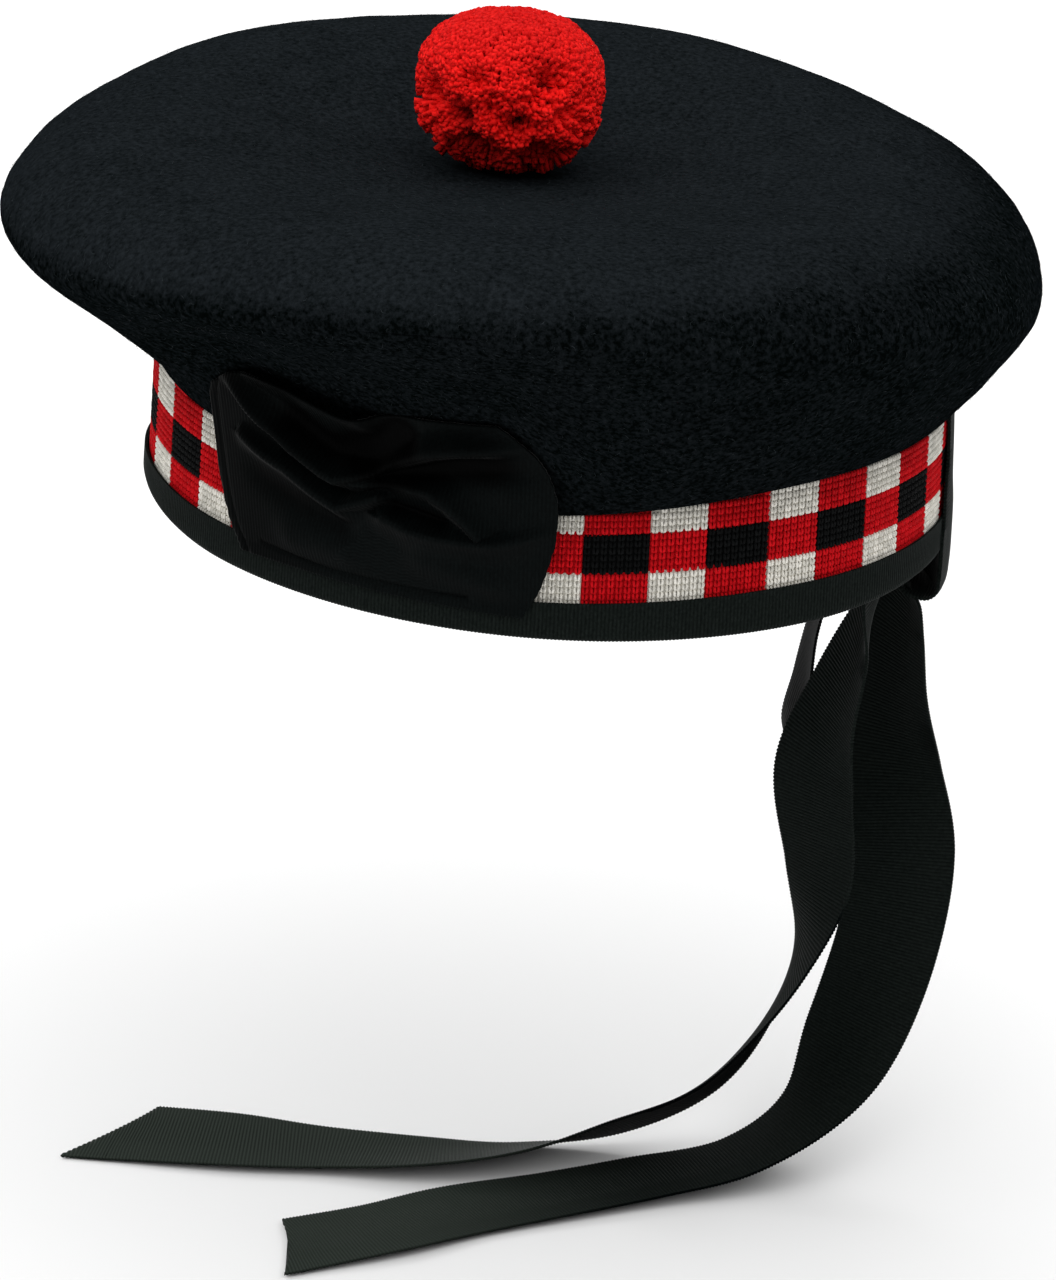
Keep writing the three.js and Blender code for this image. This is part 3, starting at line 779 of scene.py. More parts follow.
# %% Copies that differ
SHADE_SEED = 7


# On this node the sockets of a vector come first, and those of a number after them.
def random_field(tree, low, high, seed, vector=False):
    kind, first, result = ("FLOAT_VECTOR", 0, 0) if vector else ("FLOAT", 2, 1)
    node = add_node(tree, "FunctionNodeRandomValue", {"data_type": kind}, {
        first: low, first + 1: high, "Seed": seed,
    })
    return node.outputs[result]


def turned_field(tree, rotation, turn):
    return add_node(tree, "FunctionNodeRotateRotation", {"rotation_space": "LOCAL"}, {
        "Rotation": rotation, "Rotate By": turn,
    }).outputs["Rotation"]


def vector_field(tree, x, y, z):
    return add_node(tree, "ShaderNodeCombineXYZ", None, {"X": x, "Y": y, "Z": z}).outputs["Vector"]


def set_copies(tree, points, pattern, rotation, size):
    shape = add_node(tree, "GeometryNodeObjectInfo", None, {"Object": pattern})
    copies = add_node(tree, "GeometryNodeInstanceOnPoints", None, {
        "Points": points, "Instance": shape.outputs["Geometry"], "Rotation": rotation, "Scale": size,
    })
    return add_node(tree, "GeometryNodeStoreNamedAttribute", {"data_type": "FLOAT", "domain": "INSTANCE"}, {
        "Geometry": copies.outputs["Instances"], "Name": "shade",
        "Value": random_field(tree, 0.0, 1.0, SHADE_SEED),
    }).outputs["Geometry"]


print("helpers for copies ready")

# %% [markdown]
# Milled felt is never bare: fine fibres lie over it and catch the light as pale specks. Hair
# particles could do it, but the export keeps only meshes, so a node tree scatters thousands of tiny
# bent spindles over the crown's outer faces, most of them lying down, with a fixed seed.

# %% Nap on the felt
NAP_SEED = 11
SPIN_SEED = 5
SIZE_SEED = 3
NAP_PER_SQUARE_METRE = 170000.0
NAP_LEAN = ((1.15, -0.5, 0.0), (1.6, 0.5, TAU))
NAP_SHORTEST = 0.35
NAP_LONGEST = 1.2
FIBRE_LENGTH = 1.9
FIBRE_RADIUS = 0.035
FIBRE_BEND = 0.35
FIBRE_SIDES = 3


def bent_fibre():
    middle = []
    faces = []
    tip = FIBRE_SIDES + 1
    for step in range(FIBRE_SIDES):
        angle = TAU * step / FIBRE_SIDES
        side = FIBRE_BEND + FIBRE_RADIUS * math.cos(angle)
        middle.append((side, FIBRE_RADIUS * math.sin(angle), FIBRE_LENGTH / 2))
        following = (step + 1) % FIBRE_SIDES
        faces.append([0, 1 + following, 1 + step])
        faces.append([tip, 1 + step, 1 + following])
    return new_piece("fibre_pattern", [(0, 0, 0), *middle, (0, 0, FIBRE_LENGTH)], faces)


def nap_tree():
    tree, given = start_tree("scatter_nap", {
        "Fibre": "Object", "Density": "Float", "Longest": "Float", "Seed": "Int", "Finish": "Material",
    })
    spread = add_node(tree, "GeometryNodeDistributePointsOnFaces", None, {
        "Mesh": given["Geometry"], "Selection": attribute_field(tree, "outer", "BOOLEAN"),
        "Density": given["Density"], "Seed": given["Seed"],
    }).outputs
    spin = vector_field(tree, 0.0, 0.0, random_field(tree, 0.0, TAU, SPIN_SEED))
    lean = random_field(tree, *NAP_LEAN, given["Seed"], vector=True)
    laid = turned_field(tree, turned_field(tree, spread["Rotation"], spin), lean)
    size = random_field(tree, NAP_SHORTEST, given["Longest"], SIZE_SEED)
    return end_tree(tree, set_copies(tree, spread["Points"], given["Fibre"], laid, size), given["Finish"])


fibre = bent_fibre()
felt_nap = apply_tree(add_object("felt_nap", crown.data.copy()), nap_tree(), {
    "Fibre": fibre, "Density": NAP_PER_SQUARE_METRE, "Longest": NAP_LONGEST, "Seed": NAP_SEED,
    "Finish": nap,
})
settle(felt_nap, "felt")
bpy.data.objects.remove(fibre)

# %% [markdown]
# The diced band is knitted: three rows of dice, white over red over white beside red over black over
# red, in columns of seven and eight stitches. A band of real knitting is planned on a chart, and so is
# this one, with one word for each die. The count starts anew under the keeper, and its two
# ends meet out of sight behind the cockade.

# %% Chart of the dice
STITCHES_ROUND = 300
STITCH_WIDTH = BAND_GIRTH / STITCHES_ROUND
STITCHES_IN_PAIR = 15
STITCHES_IN_DARK = 8
ROWS_IN_DIE = 6
KNIT_ROW = 1.55
FIRST_ROW_DROP = 2.7
BOUND_OVERLAP = 0.9
FOOT_MARGIN = 0.1
DICE_START = float(distance_at(math.radians(11.6)))
CHART_SHIFT = 3
CHART_SEAM = 71
CHART_MEETS = 276
DARK_COLUMN = ("red", "black", "red")
LIGHT_COLUMN = ("white", "red", "white")


def die_colour(column, row):
    charted = column + (CHART_SHIFT if CHART_SEAM <= column < CHART_MEETS else 0)
    kind = DARK_COLUMN if charted % STITCHES_IN_PAIR < STITCHES_IN_DARK else LIGHT_COLUMN
    return kind[min(max(row // ROWS_IN_DIE, 0), len(kind) - 1)]


def stitch_places():
    places = {colour: [] for colour in yarns}
    for column in range(STITCHES_ROUND):
        turn = float(turn_at((DICE_START + (column + 0.5) * STITCH_WIDTH) % BAND_GIRTH))
        bound = float(around(turn, "bound"))
        foot = float(around(turn, "foot"))
        row = 0
        height = bound - FIRST_ROW_DROP + KNIT_ROW / 2
        while height < foot - FOOT_MARGIN:
            if height > bound - BOUND_OVERLAP:
                places[die_colour(column, row)].append((turn, height))
            row += 1
            height += KNIT_ROW
    return places


charted_places = stitch_places()
print("stitches:", {colour: len(places) for colour, places in charted_places.items()})

# %% [markdown]
# A picture of knitting would be flat from the side, so every stitch is a real V of two bent legs. A
# node tree sets one on each point of the chart, turned to face out of the band, some a little looser
# than others. Stitches close under the crown are darker, because they lie in its shade.

# %% Knitted stitches
STITCH_SINK = 0.42
STITCH_SMALLEST = (0.96, 0.95, 0.9)
STITCH_LOOSEST = 1.06
STITCH_SEED = 4
SHADED_REACH = 9.0
SHADED_SHARE = 0.24
LEG_PATH = ((0.12, -0.95, -0.28), (0.36, -0.36, 0.20), (0.46, 0.26, 0.20), (0.42, 0.86, -0.26))
LEG_RADII = (0.26, 0.41, 0.42, 0.24)
LEG_SIDES = 4


def recalculated(piece):
    shape = bmesh.new()
    shape.from_mesh(piece.data)
    bmesh.ops.recalc_face_normals(shape, faces=shape.faces)
    shape.to_mesh(piece.data)
    shape.free()
    return piece


def stitch_pattern():
    points, faces = yarn_tube(LEG_PATH, LEG_RADII, LEG_SIDES)
    mirrored, more = yarn_tube([(-x, y, z) for x, y, z in LEG_PATH], LEG_RADII, LEG_SIDES)
    faces += [[index + len(points) for index in face] for face in more]
    return recalculated(new_piece("stitch_pattern", points + mirrored, faces))


def stitch_tree():
    tree, given = start_tree("knit_stitches", {
        "Stitch": "Object", "Loosest": "Float", "Seed": "Int", "Yarn": "Material",
    })
    facing = add_node(tree, "FunctionNodeAxesToRotation", {"primary_axis": "Z", "secondary_axis": "X"}, {
        "Primary Axis": attribute_field(tree, "out", "FLOAT_VECTOR"),
        "Secondary Axis": attribute_field(tree, "across", "FLOAT_VECTOR"),
    }).outputs["Rotation"]
    loosest = vector_field(tree, given["Loosest"], given["Loosest"], given["Loosest"])
    size = random_field(tree, STITCH_SMALLEST, loosest, given["Seed"], vector=True)
    return end_tree(tree, set_copies(tree, given["Geometry"], given["Stitch"], facing, size), given["Yarn"])


def stitch_points(name, places):
    turn, height = np.array(places).T
    out = band_point(turn, height, 1.0) - band_point(turn, height, 0.0)
    piece = new_piece(name, band_point(turn, height, -STITCH_SINK), [])
    store_vectors(piece, "out", out)
    store_vectors(piece, "across", np.cross(UP, out))
    below = around(turn, "foot") - height
    store_floats(piece, "deep", SHADED_SHARE * eased(1 - below / SHADED_REACH))
    return piece


stitch = stitch_pattern()
knit_tree = stitch_tree()
stitches = []
for colour, places in charted_places.items():
    piece = apply_tree(stitch_points("stitches_" + colour, places), knit_tree, {
        "Stitch": stitch, "Loosest": STITCH_LOOSEST, "Seed": STITCH_SEED, "Yarn": yarns[colour],
    })
    stitches.append(settle(piece, "knit"))
bpy.data.objects.remove(stitch)

# %% [markdown]
# Behind the stitches lies the cloth of the band itself, where the yarn crosses from stitch to
# stitch. It closes the gaps between the Vs, gives the band its inside face and takes the place of
# the plain solid. Each face takes the yarn of the die in front of it, so a gap never shows black
# through white, and is painted in the darker tone of that yarn, as painted shade between the stitches.

# %% Cloth of the band
BAND_ROWS = 22
KNIT_WALL = 2.5
BACKING_OUT = -0.72
BACKING_SHADE = 0.15
HEM = 1.6
TOP_GAP = 0.35


def band_cloth():
    distance = np.arange(STITCHES_ROUND) * STITCH_WIDTH
    turn = turn_at((DICE_START + distance) % BAND_GIRTH)
    low = around(turn, "rim") + HEM
    high = around(turn, "foot") - TOP_GAP
    height = low + (high - low) * np.linspace(0, 1, BAND_ROWS + 1)[:, None]
    middle = band_point(turn[None, :], height, (BACKING_OUT - KNIT_WALL) / 2)
    along = np.broadcast_to(distance, height.shape)
    piece = cloth_sheet("band_cloth", middle, KNIT_WALL + BACKING_OUT, along, ring=True)
    order = list(yarns)
    for colour in order:
        piece.data.materials.append(yarns[colour])
    bound = around(turn, "bound")
    slots = np.full(len(piece.data.polygons), order.index("black"))
    for index in range(BAND_ROWS * STITCHES_ROUND):
        row, column = divmod(index, STITCHES_ROUND)
        middle_height = (height[row, column] + height[row + 1, column]) / 2
        chart_row = int((middle_height - bound[column] + FIRST_ROW_DROP) // KNIT_ROW)
        slots[index] = order.index(die_colour(column, chart_row))
    piece.data.polygons.foreach_set("material_index", slots.astype(np.int32))
    # Painted shade: the backing takes the darker tone of its yarn.
    store_floats(piece, "shade", np.full(len(piece.data.vertices), BACKING_SHADE))
    return piece


band = settle(band_cloth(), "knit", "diced_band")
for piece in stitches:
    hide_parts("diced_band")
print(band.name, "has", triangle_count(band), "triangles")

# %% [markdown]
# All the black trim is grosgrain, a ribbon with fine cords running straight across it. The cords
# could be a bump in the finish, but they show along every edge, so a small tree pushes the surface
# out in rounded ribs. It reads one attribute, the distance along the ribbon, so the same tree serves
# the binding, the cockade, the keeper, the loop and both tails. It also writes painted shade into the
# grooves between the ribs.

# %% Tree for grosgrain ribs
RIB_PITCH = 0.866
RIB_HEIGHT = 0.26
RIB_POWER = 1.4
RIBBON_WALL = 0.5
EDGE_ANGLE = math.radians(70.0)


def rib_tree():
    tree, given = start_tree("grosgrain_ribs", {"Pitch": "Float", "Height": "Float", "Ribbon": "Material"})
    along = attribute_field(tree, "along", "FLOAT")
    phase = math_field(tree, "MULTIPLY", math_field(tree, "DIVIDE", along, given["Pitch"]), math.pi)
    wave = math_field(tree, "ABSOLUTE", math_field(tree, "SINE", phase))
    wave = math_field(tree, "POWER", wave, RIB_POWER)
    lift = math_field(tree, "MULTIPLY", wave, given["Height"])
    normal = add_node(tree, "GeometryNodeInputNormal").outputs["Normal"]
    offset = add_node(tree, "ShaderNodeVectorMath", {"operation": "SCALE"}, {0: normal, "Scale": lift})
    raised = add_node(tree, "GeometryNodeSetPosition", None, {
        "Geometry": given["Geometry"], "Offset": offset.outputs["Vector"],
    })
    # Painted shade: the grooves between the ribs are marked for the finish to darken.
    marked = add_node(tree, "GeometryNodeStoreNamedAttribute", {"data_type": "FLOAT", "domain": "POINT"}, {
        "Geometry": raised.outputs["Geometry"], "Name": "groove",
        "Value": math_field(tree, "SUBTRACT", 1.0, wave),
    })
    return end_tree(tree, marked.outputs["Geometry"], given["Ribbon"])


def ribbed(piece, height=RIB_HEIGHT, finish=ribbon, crisp=True):
    apply_tree(piece, grosgrain, {"Pitch": RIB_PITCH, "Height": height * MM, "Ribbon": finish})
    if crisp:
        piece.data.set_sharp_from_angle(angle=EDGE_ANGLE)
    return piece


grosgrain = rib_tree()
print("rib tree has", len(grosgrain.nodes), "nodes")

# %% [markdown]
# The binding is a ribbon folded over the lower edge of the band. Its cross-section is a hairpin: down
# the outside, round the fold and up the inside. The hairpin is carried round the band with four
# points to each rib, and the count of ribs is whole, so that the ring closes without a seam.

# %% Binding round the lower edge
BINDING_RIBS = round(BAND_GIRTH / RIB_PITCH)
BINDING_RIB_HEIGHT = 0.16
POINTS_PER_RIB = 4
BINDING_OUT = 0.85
BINDING_IN = -3.35
FOLD_START = 1.3
FOLD_DROP = 1.9
FOLD_STEPS = 6
OUTER_STEPS = 2
INNER_STEPS = 1


def edge_binding():
    steps = BINDING_RIBS * POINTS_PER_RIB
    turn = turn_at(np.arange(steps) / steps * BAND_GIRTH)
    straight = around(turn, "rim") + FOLD_START
    climb = around(turn, "bound") - straight
    centre = (BINDING_OUT + BINDING_IN) / 2
    half = (BINDING_OUT - BINDING_IN) / 2
    rows = []
    for step in range(OUTER_STEPS):
        rows.append(band_point(turn, straight + climb * (1 - step / OUTER_STEPS), BINDING_OUT))
    for step in range(FOLD_STEPS + 1):
        angle = math.pi * step / FOLD_STEPS
        out = centre + half * math.cos(angle)
        rows.append(band_point(turn, straight - FOLD_DROP * math.sin(angle), out))
    for step in range(INNER_STEPS):
        rows.append(band_point(turn, straight + climb * (step + 1) / INNER_STEPS, BINDING_IN))
    middle = np.stack(rows)[::-1]
    along = np.broadcast_to(np.arange(steps) / POINTS_PER_RIB * RIB_PITCH, middle.shape[:2])
    return cloth_sheet("edge_binding", middle, RIBBON_WALL, along, ring=True)


binding = settle(ribbed(edge_binding(), BINDING_RIB_HEIGHT), "ribbon", "binding")

# %% [markdown]
# The ribbons at the back hang from inside the rim. Each is a short table of places on its middle
# line, with the heading and rise of its width there. A curve object could follow such
# places, but it twists as it likes, so the smooth curve is worked out here. The ribbon is laid along it
# at its real width, with four points to each rib, past the end as well, and bowed a little.

# %% Ribbon along a table of places
CURVE_STEPS = 40
SHORTEST = 1e-4
RIBBON_WIDTH = 25.5
RIBBON_COLUMNS = 7
ROW_SPACING = RIB_PITCH / POINTS_PER_RIB
AHEAD_REACH = 40
BOW_HEIGHT = 0.5
BOW_WAVE = 31.0


# The first three columns are a place, and any others are carried along with it.
def smooth_curve(table):
    places = np.asarray(table, float)
    points = np.vstack([2 * places[0] - places[1], places, 2 * places[-1] - places[-2]])
    share = np.linspace(0, 1, CURVE_STEPS, endpoint=False)[:, None]
    samples = []
    for index in range(len(places) - 1):
        before, here, there, beyond = points[index:index + 4]
        pairs = ((before, here), (here, there), (there, beyond))
        gap_before, gap, gap_beyond = (
            max(np.linalg.norm((second - first)[:3]) ** 0.5, SHORTEST) for first, second in pairs
        )
        leave = gap * (
            (here - before) / gap_before - (there - before) / (gap_before + gap) + (there - here) / gap
        )
        arrive = gap * (
            (there - here) / gap - (beyond - here) / (gap + gap_beyond) + (beyond - there) / gap_beyond
        )
        samples.append(
            (2 * share ** 3 - 3 * share ** 2 + 1) * here + (share ** 3 - 2 * share ** 2 + share) * leave
            + (3 * share ** 2 - 2 * share ** 3) * there + (share ** 3 - share ** 2) * arrive
        )
    line = np.vstack([*samples, places[-1:]])
    steps = np.linalg.norm(np.diff(line[:, :3], axis=0), axis=1)
    return line, np.concatenate([[0], np.cumsum(steps)])


def ribbon_rows(table, extra=0.0, bow=BOW_HEIGHT):
    line, reached = smooth_curve(table)
    length = reached[-1]
    distance = np.arange(int((length + extra) / ROW_SPACING) + 1) * ROW_SPACING
    inside = np.minimum(distance, length)
    read = np.stack([np.interp(inside, reached, column) for column in line.T], -1)
    final = line[-1, :3] - line[-3, :3]
    final /= np.linalg.norm(final)
    middle = read[:, :3] + (distance - inside)[:, None] * final
    heading, rise = np.radians(read[:, 3:]).T
    width = np.stack([np.cos(rise) * np.cos(heading), np.cos(rise) * np.sin(heading), np.sin(rise)], -1)
    index = np.arange(len(middle))
    ahead = middle[np.minimum(index + AHEAD_REACH, index[-1])] - middle[np.maximum(index - AHEAD_REACH, 0)]
    ahead /= np.linalg.norm(ahead, axis=1, keepdims=True)
    width = width - (width * ahead).sum(1, keepdims=True) * ahead
    part = np.linspace(-0.5, 0.5, RIBBON_COLUMNS)
    grid = middle[:, None, :] + width[:, None, :] * (part * RIBBON_WIDTH)[None, :, None]
    bowed = bow * (1 - 4 * part ** 2)[None, :, None] * np.sin(distance / BOW_WAVE)[:, None, None]
    along = np.broadcast_to(distance[:, None], grid.shape[:2])
    return grid + grid_normals(grid) * bowed, along, length


print("ribbon is", RIBBON_WIDTH, "mm wide, with rows", round(ROW_SPACING, 3), "mm apart")

# %% [markdown]
# A tail is cut off at a slant. A plane cuts the mesh, the hole is filled, and the middle of the cut is
# drawn back a little, as scissors leave it. Where the tail lies on the floor it is painted paler, as a
# painted reflection of the floor, and where its underside shows it gets painted shade, which is
# written on the points and picks the finish of each face.

# %% Slanted ends and shaded undersides
CUT_HOLLOW = 1.5
CUT_REACH = 9.0
CUT_LOOK_BACK = 8
LYING_FROM = 45.0
LYING_OVER = 70.0
UNDER_SHADE = 0.85
UNDER_LEAN = (0.25, 0.65)
DULL_FROM = 0.4


def cut_end(piece, corner, across, ahead):
    shape = bmesh.new()
    shape.from_mesh(piece.data)
    plane = across.cross(ahead).cross(across).normalized()
    parts = shape.verts[:] + shape.edges[:] + shape.faces[:]
    bmesh.ops.bisect_plane(shape, geom=parts, plane_co=corner * MM, plane_no=plane, clear_outer=True)
    bmesh.ops.holes_fill(shape, edges=[edge for edge in shape.edges if edge.is_boundary], sides=0)
    for vertex in shape.verts:
        gap = vertex.co / MM - corner
        behind = -gap.dot(plane)
        if behind < CUT_REACH:
            share = 2 * gap.dot(across) / across.length_squared
            vertex.co -= ahead * CUT_HOLLOW * MM * max(1 - share * share, 0) * (1 - behind / CUT_REACH)
    shape.to_mesh(piece.data)
    shape.free()
    return piece


def slanted_tail(name, table, slant):
    grid, along, length = ribbon_rows(table, extra=abs(slant))
    piece = cloth_sheet(name, grid, RIBBON_WALL, along)
    # Painted reflection: the tail is painted paler where it lies on the floor.
    store_floats(piece, "lying", both_skins(eased((LYING_FROM - grid[..., 1]) / LYING_OVER)))
    # Painted shade on the skin that faces down.
    facing = grid_normals(grid)[..., 2].ravel()
    leaning = np.concatenate([-facing, facing])
    store_floats(piece, "deep", UNDER_SHADE * eased_between(leaning, UNDER_LEAN))
    line = np.searchsorted(along[:, 0], length)
    left = Vector(grid[line, 0])
    right = Vector(grid[line, -1])
    middle = grid[:, RIBBON_COLUMNS // 2]
    ahead = (Vector(middle[line]) - Vector(middle[line - CUT_LOOK_BACK])).normalized()
    across = (right + ahead * slant / 2) - (left - ahead * slant / 2)
    return cut_end(piece, (left + right) / 2, across, ahead), length


# Faces with painted shade get the shaded finishes: darker colours and less sheen, in steps.
def dulled(piece):
    mesh = piece.data
    deep = np.empty(len(mesh.vertices), np.float32)
    mesh.attributes["deep"].data.foreach_get("value", deep)
    corners = [polygon.vertices[0] for polygon in mesh.polygons]
    for finish in shaded_ribbons:
        mesh.materials.append(finish)
    steps = np.rint(np.clip(deep[corners] / DULL_FROM, 0, 1) * SHADE_STEPS)
    mesh.polygons.foreach_set("material_index", steps.astype(np.int32))
    return piece


print("tail helpers ready")

# %% [markdown]
# The left tail is sewn inside the rim and hangs in front. It turns on its way down, so that its shaded
# underside shows for a while, and then lies forward on the table, tilted, with a long slanted cut.

# %% Left tail
LEFT_END_SLANT = 20.0
TAIL_LEFT_ROWS = (
    # side, back, up, heading, rise
    (27.5, 85.0, 10.5, -21, 0),
    (27.5, 84.9, 3.5, -21, 0),
    (25.5, 83.0, -5.0, -6, 0),
    (22.5, 80.0, -15.0, 13, -2),
    (21.0, 74.0, -36.0, 29, -11),
    (19.0, 71.0, -56.0, 51, -4),
    (17.5, 73.6, -81.0, 41, 5),
    (19.5, 71.0, -102.0, 9, 1),
    (18.5, 61.0, -125.7, -12, 5),
    (15.5, 47.8, -143.5, -12, 22),
    (16.5, 29.0, -154.0, -2, 31),
    (21.5, 5.0, -160.3, 9, 21.5),
    (25.5, -17.5, -162.1, 2, 11),
    (26.5, -43.0, -163.5, 5, 4),
    (29.5, -65.5, -162.5, 4, -3),
    (30.8, -97.0, -163.3, 1, -6),
)

tail_left, left_length = slanted_tail("ribbon_tail_left", TAIL_LEFT_ROWS, LEFT_END_SLANT)
settle(dulled(ribbed(tail_left)), "ribbon", "tail_left")
print("left tail is", round(left_length), "mm long")

# %% [markdown]
# The right tail hangs behind it, twists edge-on and lies out to the side.

# %% Right tail
RIGHT_END_SLANT = 9.0
TAIL_RIGHT_ROWS = (
    # side, back, up, heading, rise
    (-1.0, 87.0, 4.0, 2, 0),
    (-1.6, 86.4, -2.5, 5, 0),
    (-3.0, 88.2, -10.0, 17, 0),
    (-4.0, 87.8, -16.0, 26, 4),
    (-4.5, 87.2, -37.0, 43, -4),
    (-6.5, 88.9, -58.0, 66, 4),
    (-6.0, 93.0, -82.0, 89, 2),
    (-5.0, 91.3, -105.0, 89, -10),
    (-2.5, 84.5, -131.0, 66, -12),
    (5.5, 75.5, -149.0, 32, 3),
    (14.5, 59.5, -159.5, 22, 7),
    (25.5, 36.5, -163.0, 29, 5),
    (37.0, 17.0, -164.0, 31, 4),
    (51.0, -4.5, -164.0, 36, 1),
    (66.0, -22.0, -163.5, 38, 2),
    (79.5, -43.5, -164.3, 31, 0),
)

tail_right, right_length = slanted_tail("ribbon_tail_right", TAIL_RIGHT_ROWS, RIGHT_END_SLANT)
settle(dulled(ribbed(tail_right)), "ribbon", "tail_right")
print("right tail is", round(right_length), "mm long")

# %% [markdown]
# The loop is the bow's own: down, round and up again, in the shade of the tails. It is left flat
# across, wears the ribbon finish painted darker, as shade, and gets painted shade over it as well.

# %% Bow loop
LOOP_SHADE = 0.55
BOW_LOOP_ROWS = (
    # side, back, up, heading, rise
    (-30.5, 83.7, 10.5, 23, 0),
    (-30.5, 83.6, 3.5, 23, 0),
    (-30.0, 82.0, -10.0, 21, 0),
    (-29.5, 78.5, -32.0, 17, 0),
    (-29.0, 73.0, -55.0, 10, 0),
    (-29.0, 66.0, -69.0, 6, 0),
    (-29.0, 61.2, -65.0, 9, 0),
    (-29.0, 63.6, -50.0, 12, 0),
    (-29.0, 66.2, -30.0, 6, 0),
    (-29.5, 71.0, -14.0, 5, 0),
    (-30.0, 77.8, -3.0, 15, 0),
    (-30.5, 81.4, 3.5, 23, 0),
    (-30.5, 82.0, 10.5, 23, 0),
)

loop_grid, loop_along, loop_length = ribbon_rows(BOW_LOOP_ROWS, bow=0.0)
bow_loop = cloth_sheet("ribbon_loop", loop_grid, RIBBON_WALL, loop_along)
# Painted shade over the whole loop.
store_floats(bow_loop, "deep", np.full(len(bow_loop.data.vertices), LOOP_SHADE))
settle(ribbed(bow_loop, RIB_HEIGHT, shade_painted_ribbon), "ribbon", "bow_loop")
print("loop is", round(loop_length), "mm long")

# %% [markdown]
# A short ribbon is wrapped over the rim at the back and covers the place where the tails are sewn.
# Its table gives only how far out from the band and how high it lies, from the top outside, under
# the rim, to its end inside, because the band itself gives the curve across. The right tail's sewn
# start is a small piece of its own, tucked into this fold.

# %% Keeper over the rim
KEEPER_HALF_WIDTH = 12.5
KEEPER_SWING = math.radians(4.0)
KEEPER_SWING_FROM = 4.0
KEEPER_SWING_OVER = 26.0
KEEPER_ROWS = (
    # out, up
    (0.7, 35.3),
    (1.0, 26.0),
    (1.2, 17.0),
    (1.6, 10.5),
    (1.6, 2.0),
    (1.5, -4.0),
    (1.1, -7.4),
    (-0.8, -9.2),
    (-3.5, -9.4),
    (-7.0, -8.0),
    (-8.6, -2.0),
    (-7.6, 4.0),
    (-6.0, 9.0),
    (-5.2, 13.0),
)
ROOT_HALF_WIDTH = 11.0
ROOT_OUT = (-6.0, 1.0)
ROOT_TOP = 2.6
ROOT_FOOT = -7.8


def turns_at_back(half_width):
    spread = half_width / BAND_HALF_WIDTH
    return math.pi / 2 + np.linspace(spread, -spread, RIBBON_COLUMNS)[None, :]


def ribbon_keeper():
    line, reached = smooth_curve([(out, up, 0.0) for out, up in KEEPER_ROWS])
    distance = np.arange(int(reached[-1] / ROW_SPACING) + 1) * ROW_SPACING
    out, up = (np.interp(distance, reached, line[:, column])[:, None] for column in (0, 1))
    swing = KEEPER_SWING * eased((up - KEEPER_SWING_FROM) / KEEPER_SWING_OVER)
    grid = band_point(turns_at_back(KEEPER_HALF_WIDTH) + swing, up, out)
    along = np.broadcast_to(distance[:, None], grid.shape[:2])
    return cloth_sheet("ribbon_keeper", grid, RIBBON_WALL, along), reached[-1]


def tail_root():
    up = np.arange(ROOT_TOP, ROOT_FOOT, -ROW_SPACING)[:, None]
    out = np.linspace(*ROOT_OUT, RIBBON_COLUMNS)[None, :]
    grid = band_point(turns_at_back(ROOT_HALF_WIDTH), up, out)
    return cloth_sheet("ribbon_tail_root", grid, RIBBON_WALL, np.broadcast_to(-up, grid.shape[:2]))


keeper, keeper_length = ribbon_keeper()
settle(ribbed(keeper), "ribbon", "bow_keeper")
root = settle(ribbed(tail_root()), "ribbon", "tail_right")

# %% [markdown]
# The cockade is a ribbon gathered at its middle and sewn to the band on the wearer's left. Its outline
# comes first, as two short tables read by smooth curves: the sides at each level, and the foot and top
# across. Rows lie closer together low down, where the folds are narrowest.

# %% Outline of the cockade
COCKADE_COLUMNS = 291
COCKADE_FINE_PART = 0.42
COCKADE_FINE_LEVELS = 64
COCKADE_OTHER_LEVELS = 50
COCKADE_SIDES = (
    # level, left, right
    (0.0, -36.5, 34.5),
    (0.12, -39.5, 37.6),
    (0.25, -41.0, 39.6),
    (0.45, -42.0, 41.5),
    (0.65, -42.4, 41.0),
    (0.8, -42.4, 38.2),
    (0.92, -42.2, 33.5),
    (1.0, -41.2, 28.5),
)
COCKADE_EDGES = (
    # across, foot, top
    (0.0, -3.0, 37.0),
    (0.1, -2.6, 41.5),
    (0.2, -2.3, 43.2),
    (0.4, -2.2, 41.2),
    (0.53, -2.3, 39.2),
    (0.65, -2.4, 41.2),
    (0.8, -2.6, 42.2),
    (1.0, -3.4, 43.0),
)


# The second and third column of a table, read at places between its rows by smooth curves.
def table_columns(table, place):
    knots, *columns = np.array(table).T
    index = np.clip(np.searchsorted(knots, place, side="right") - 1, 0, len(knots) - 2)
    step = knots[index + 1] - knots[index]
    share = (place - knots[index]) / step
    rest = 1 - share
    read = []
    for values in columns:
        slopes = np.gradient(values, knots)
        read.append(
            rest ** 2 * (1 + 2 * share) * values[index] + share ** 2 * (1 + 2 * rest) * values[index + 1]
            + step * (share * rest ** 2 * slopes[index] - share ** 2 * rest * slopes[index + 1])
        )
    return read


fine_levels = np.linspace(0, COCKADE_FINE_PART, COCKADE_FINE_LEVELS, endpoint=False)
other_levels = np.linspace(COCKADE_FINE_PART, 1, COCKADE_OTHER_LEVELS + 1)
level = np.concatenate([fine_levels, other_levels])[:, None]
across = np.linspace(0, 1, COCKADE_COLUMNS + 1)[None, :]
left, right = table_columns(COCKADE_SIDES, level)
foot, top = table_columns(COCKADE_EDGES, across)
along = left + (right - left) * across
up = foot + (top - foot) * level
print("cockade grid", along.shape, "is", round(float(along.max() - along.min()), 1), "mm long")

# %% [markdown]
# Cloth simulation would give some gathers, but not these, so the folds are listed one by one: a
# crest line, its height, and how far it falls away above and below. Soft swells and hollows lie between
# the crests. A small three-cornered part has its ribs turned the other way.

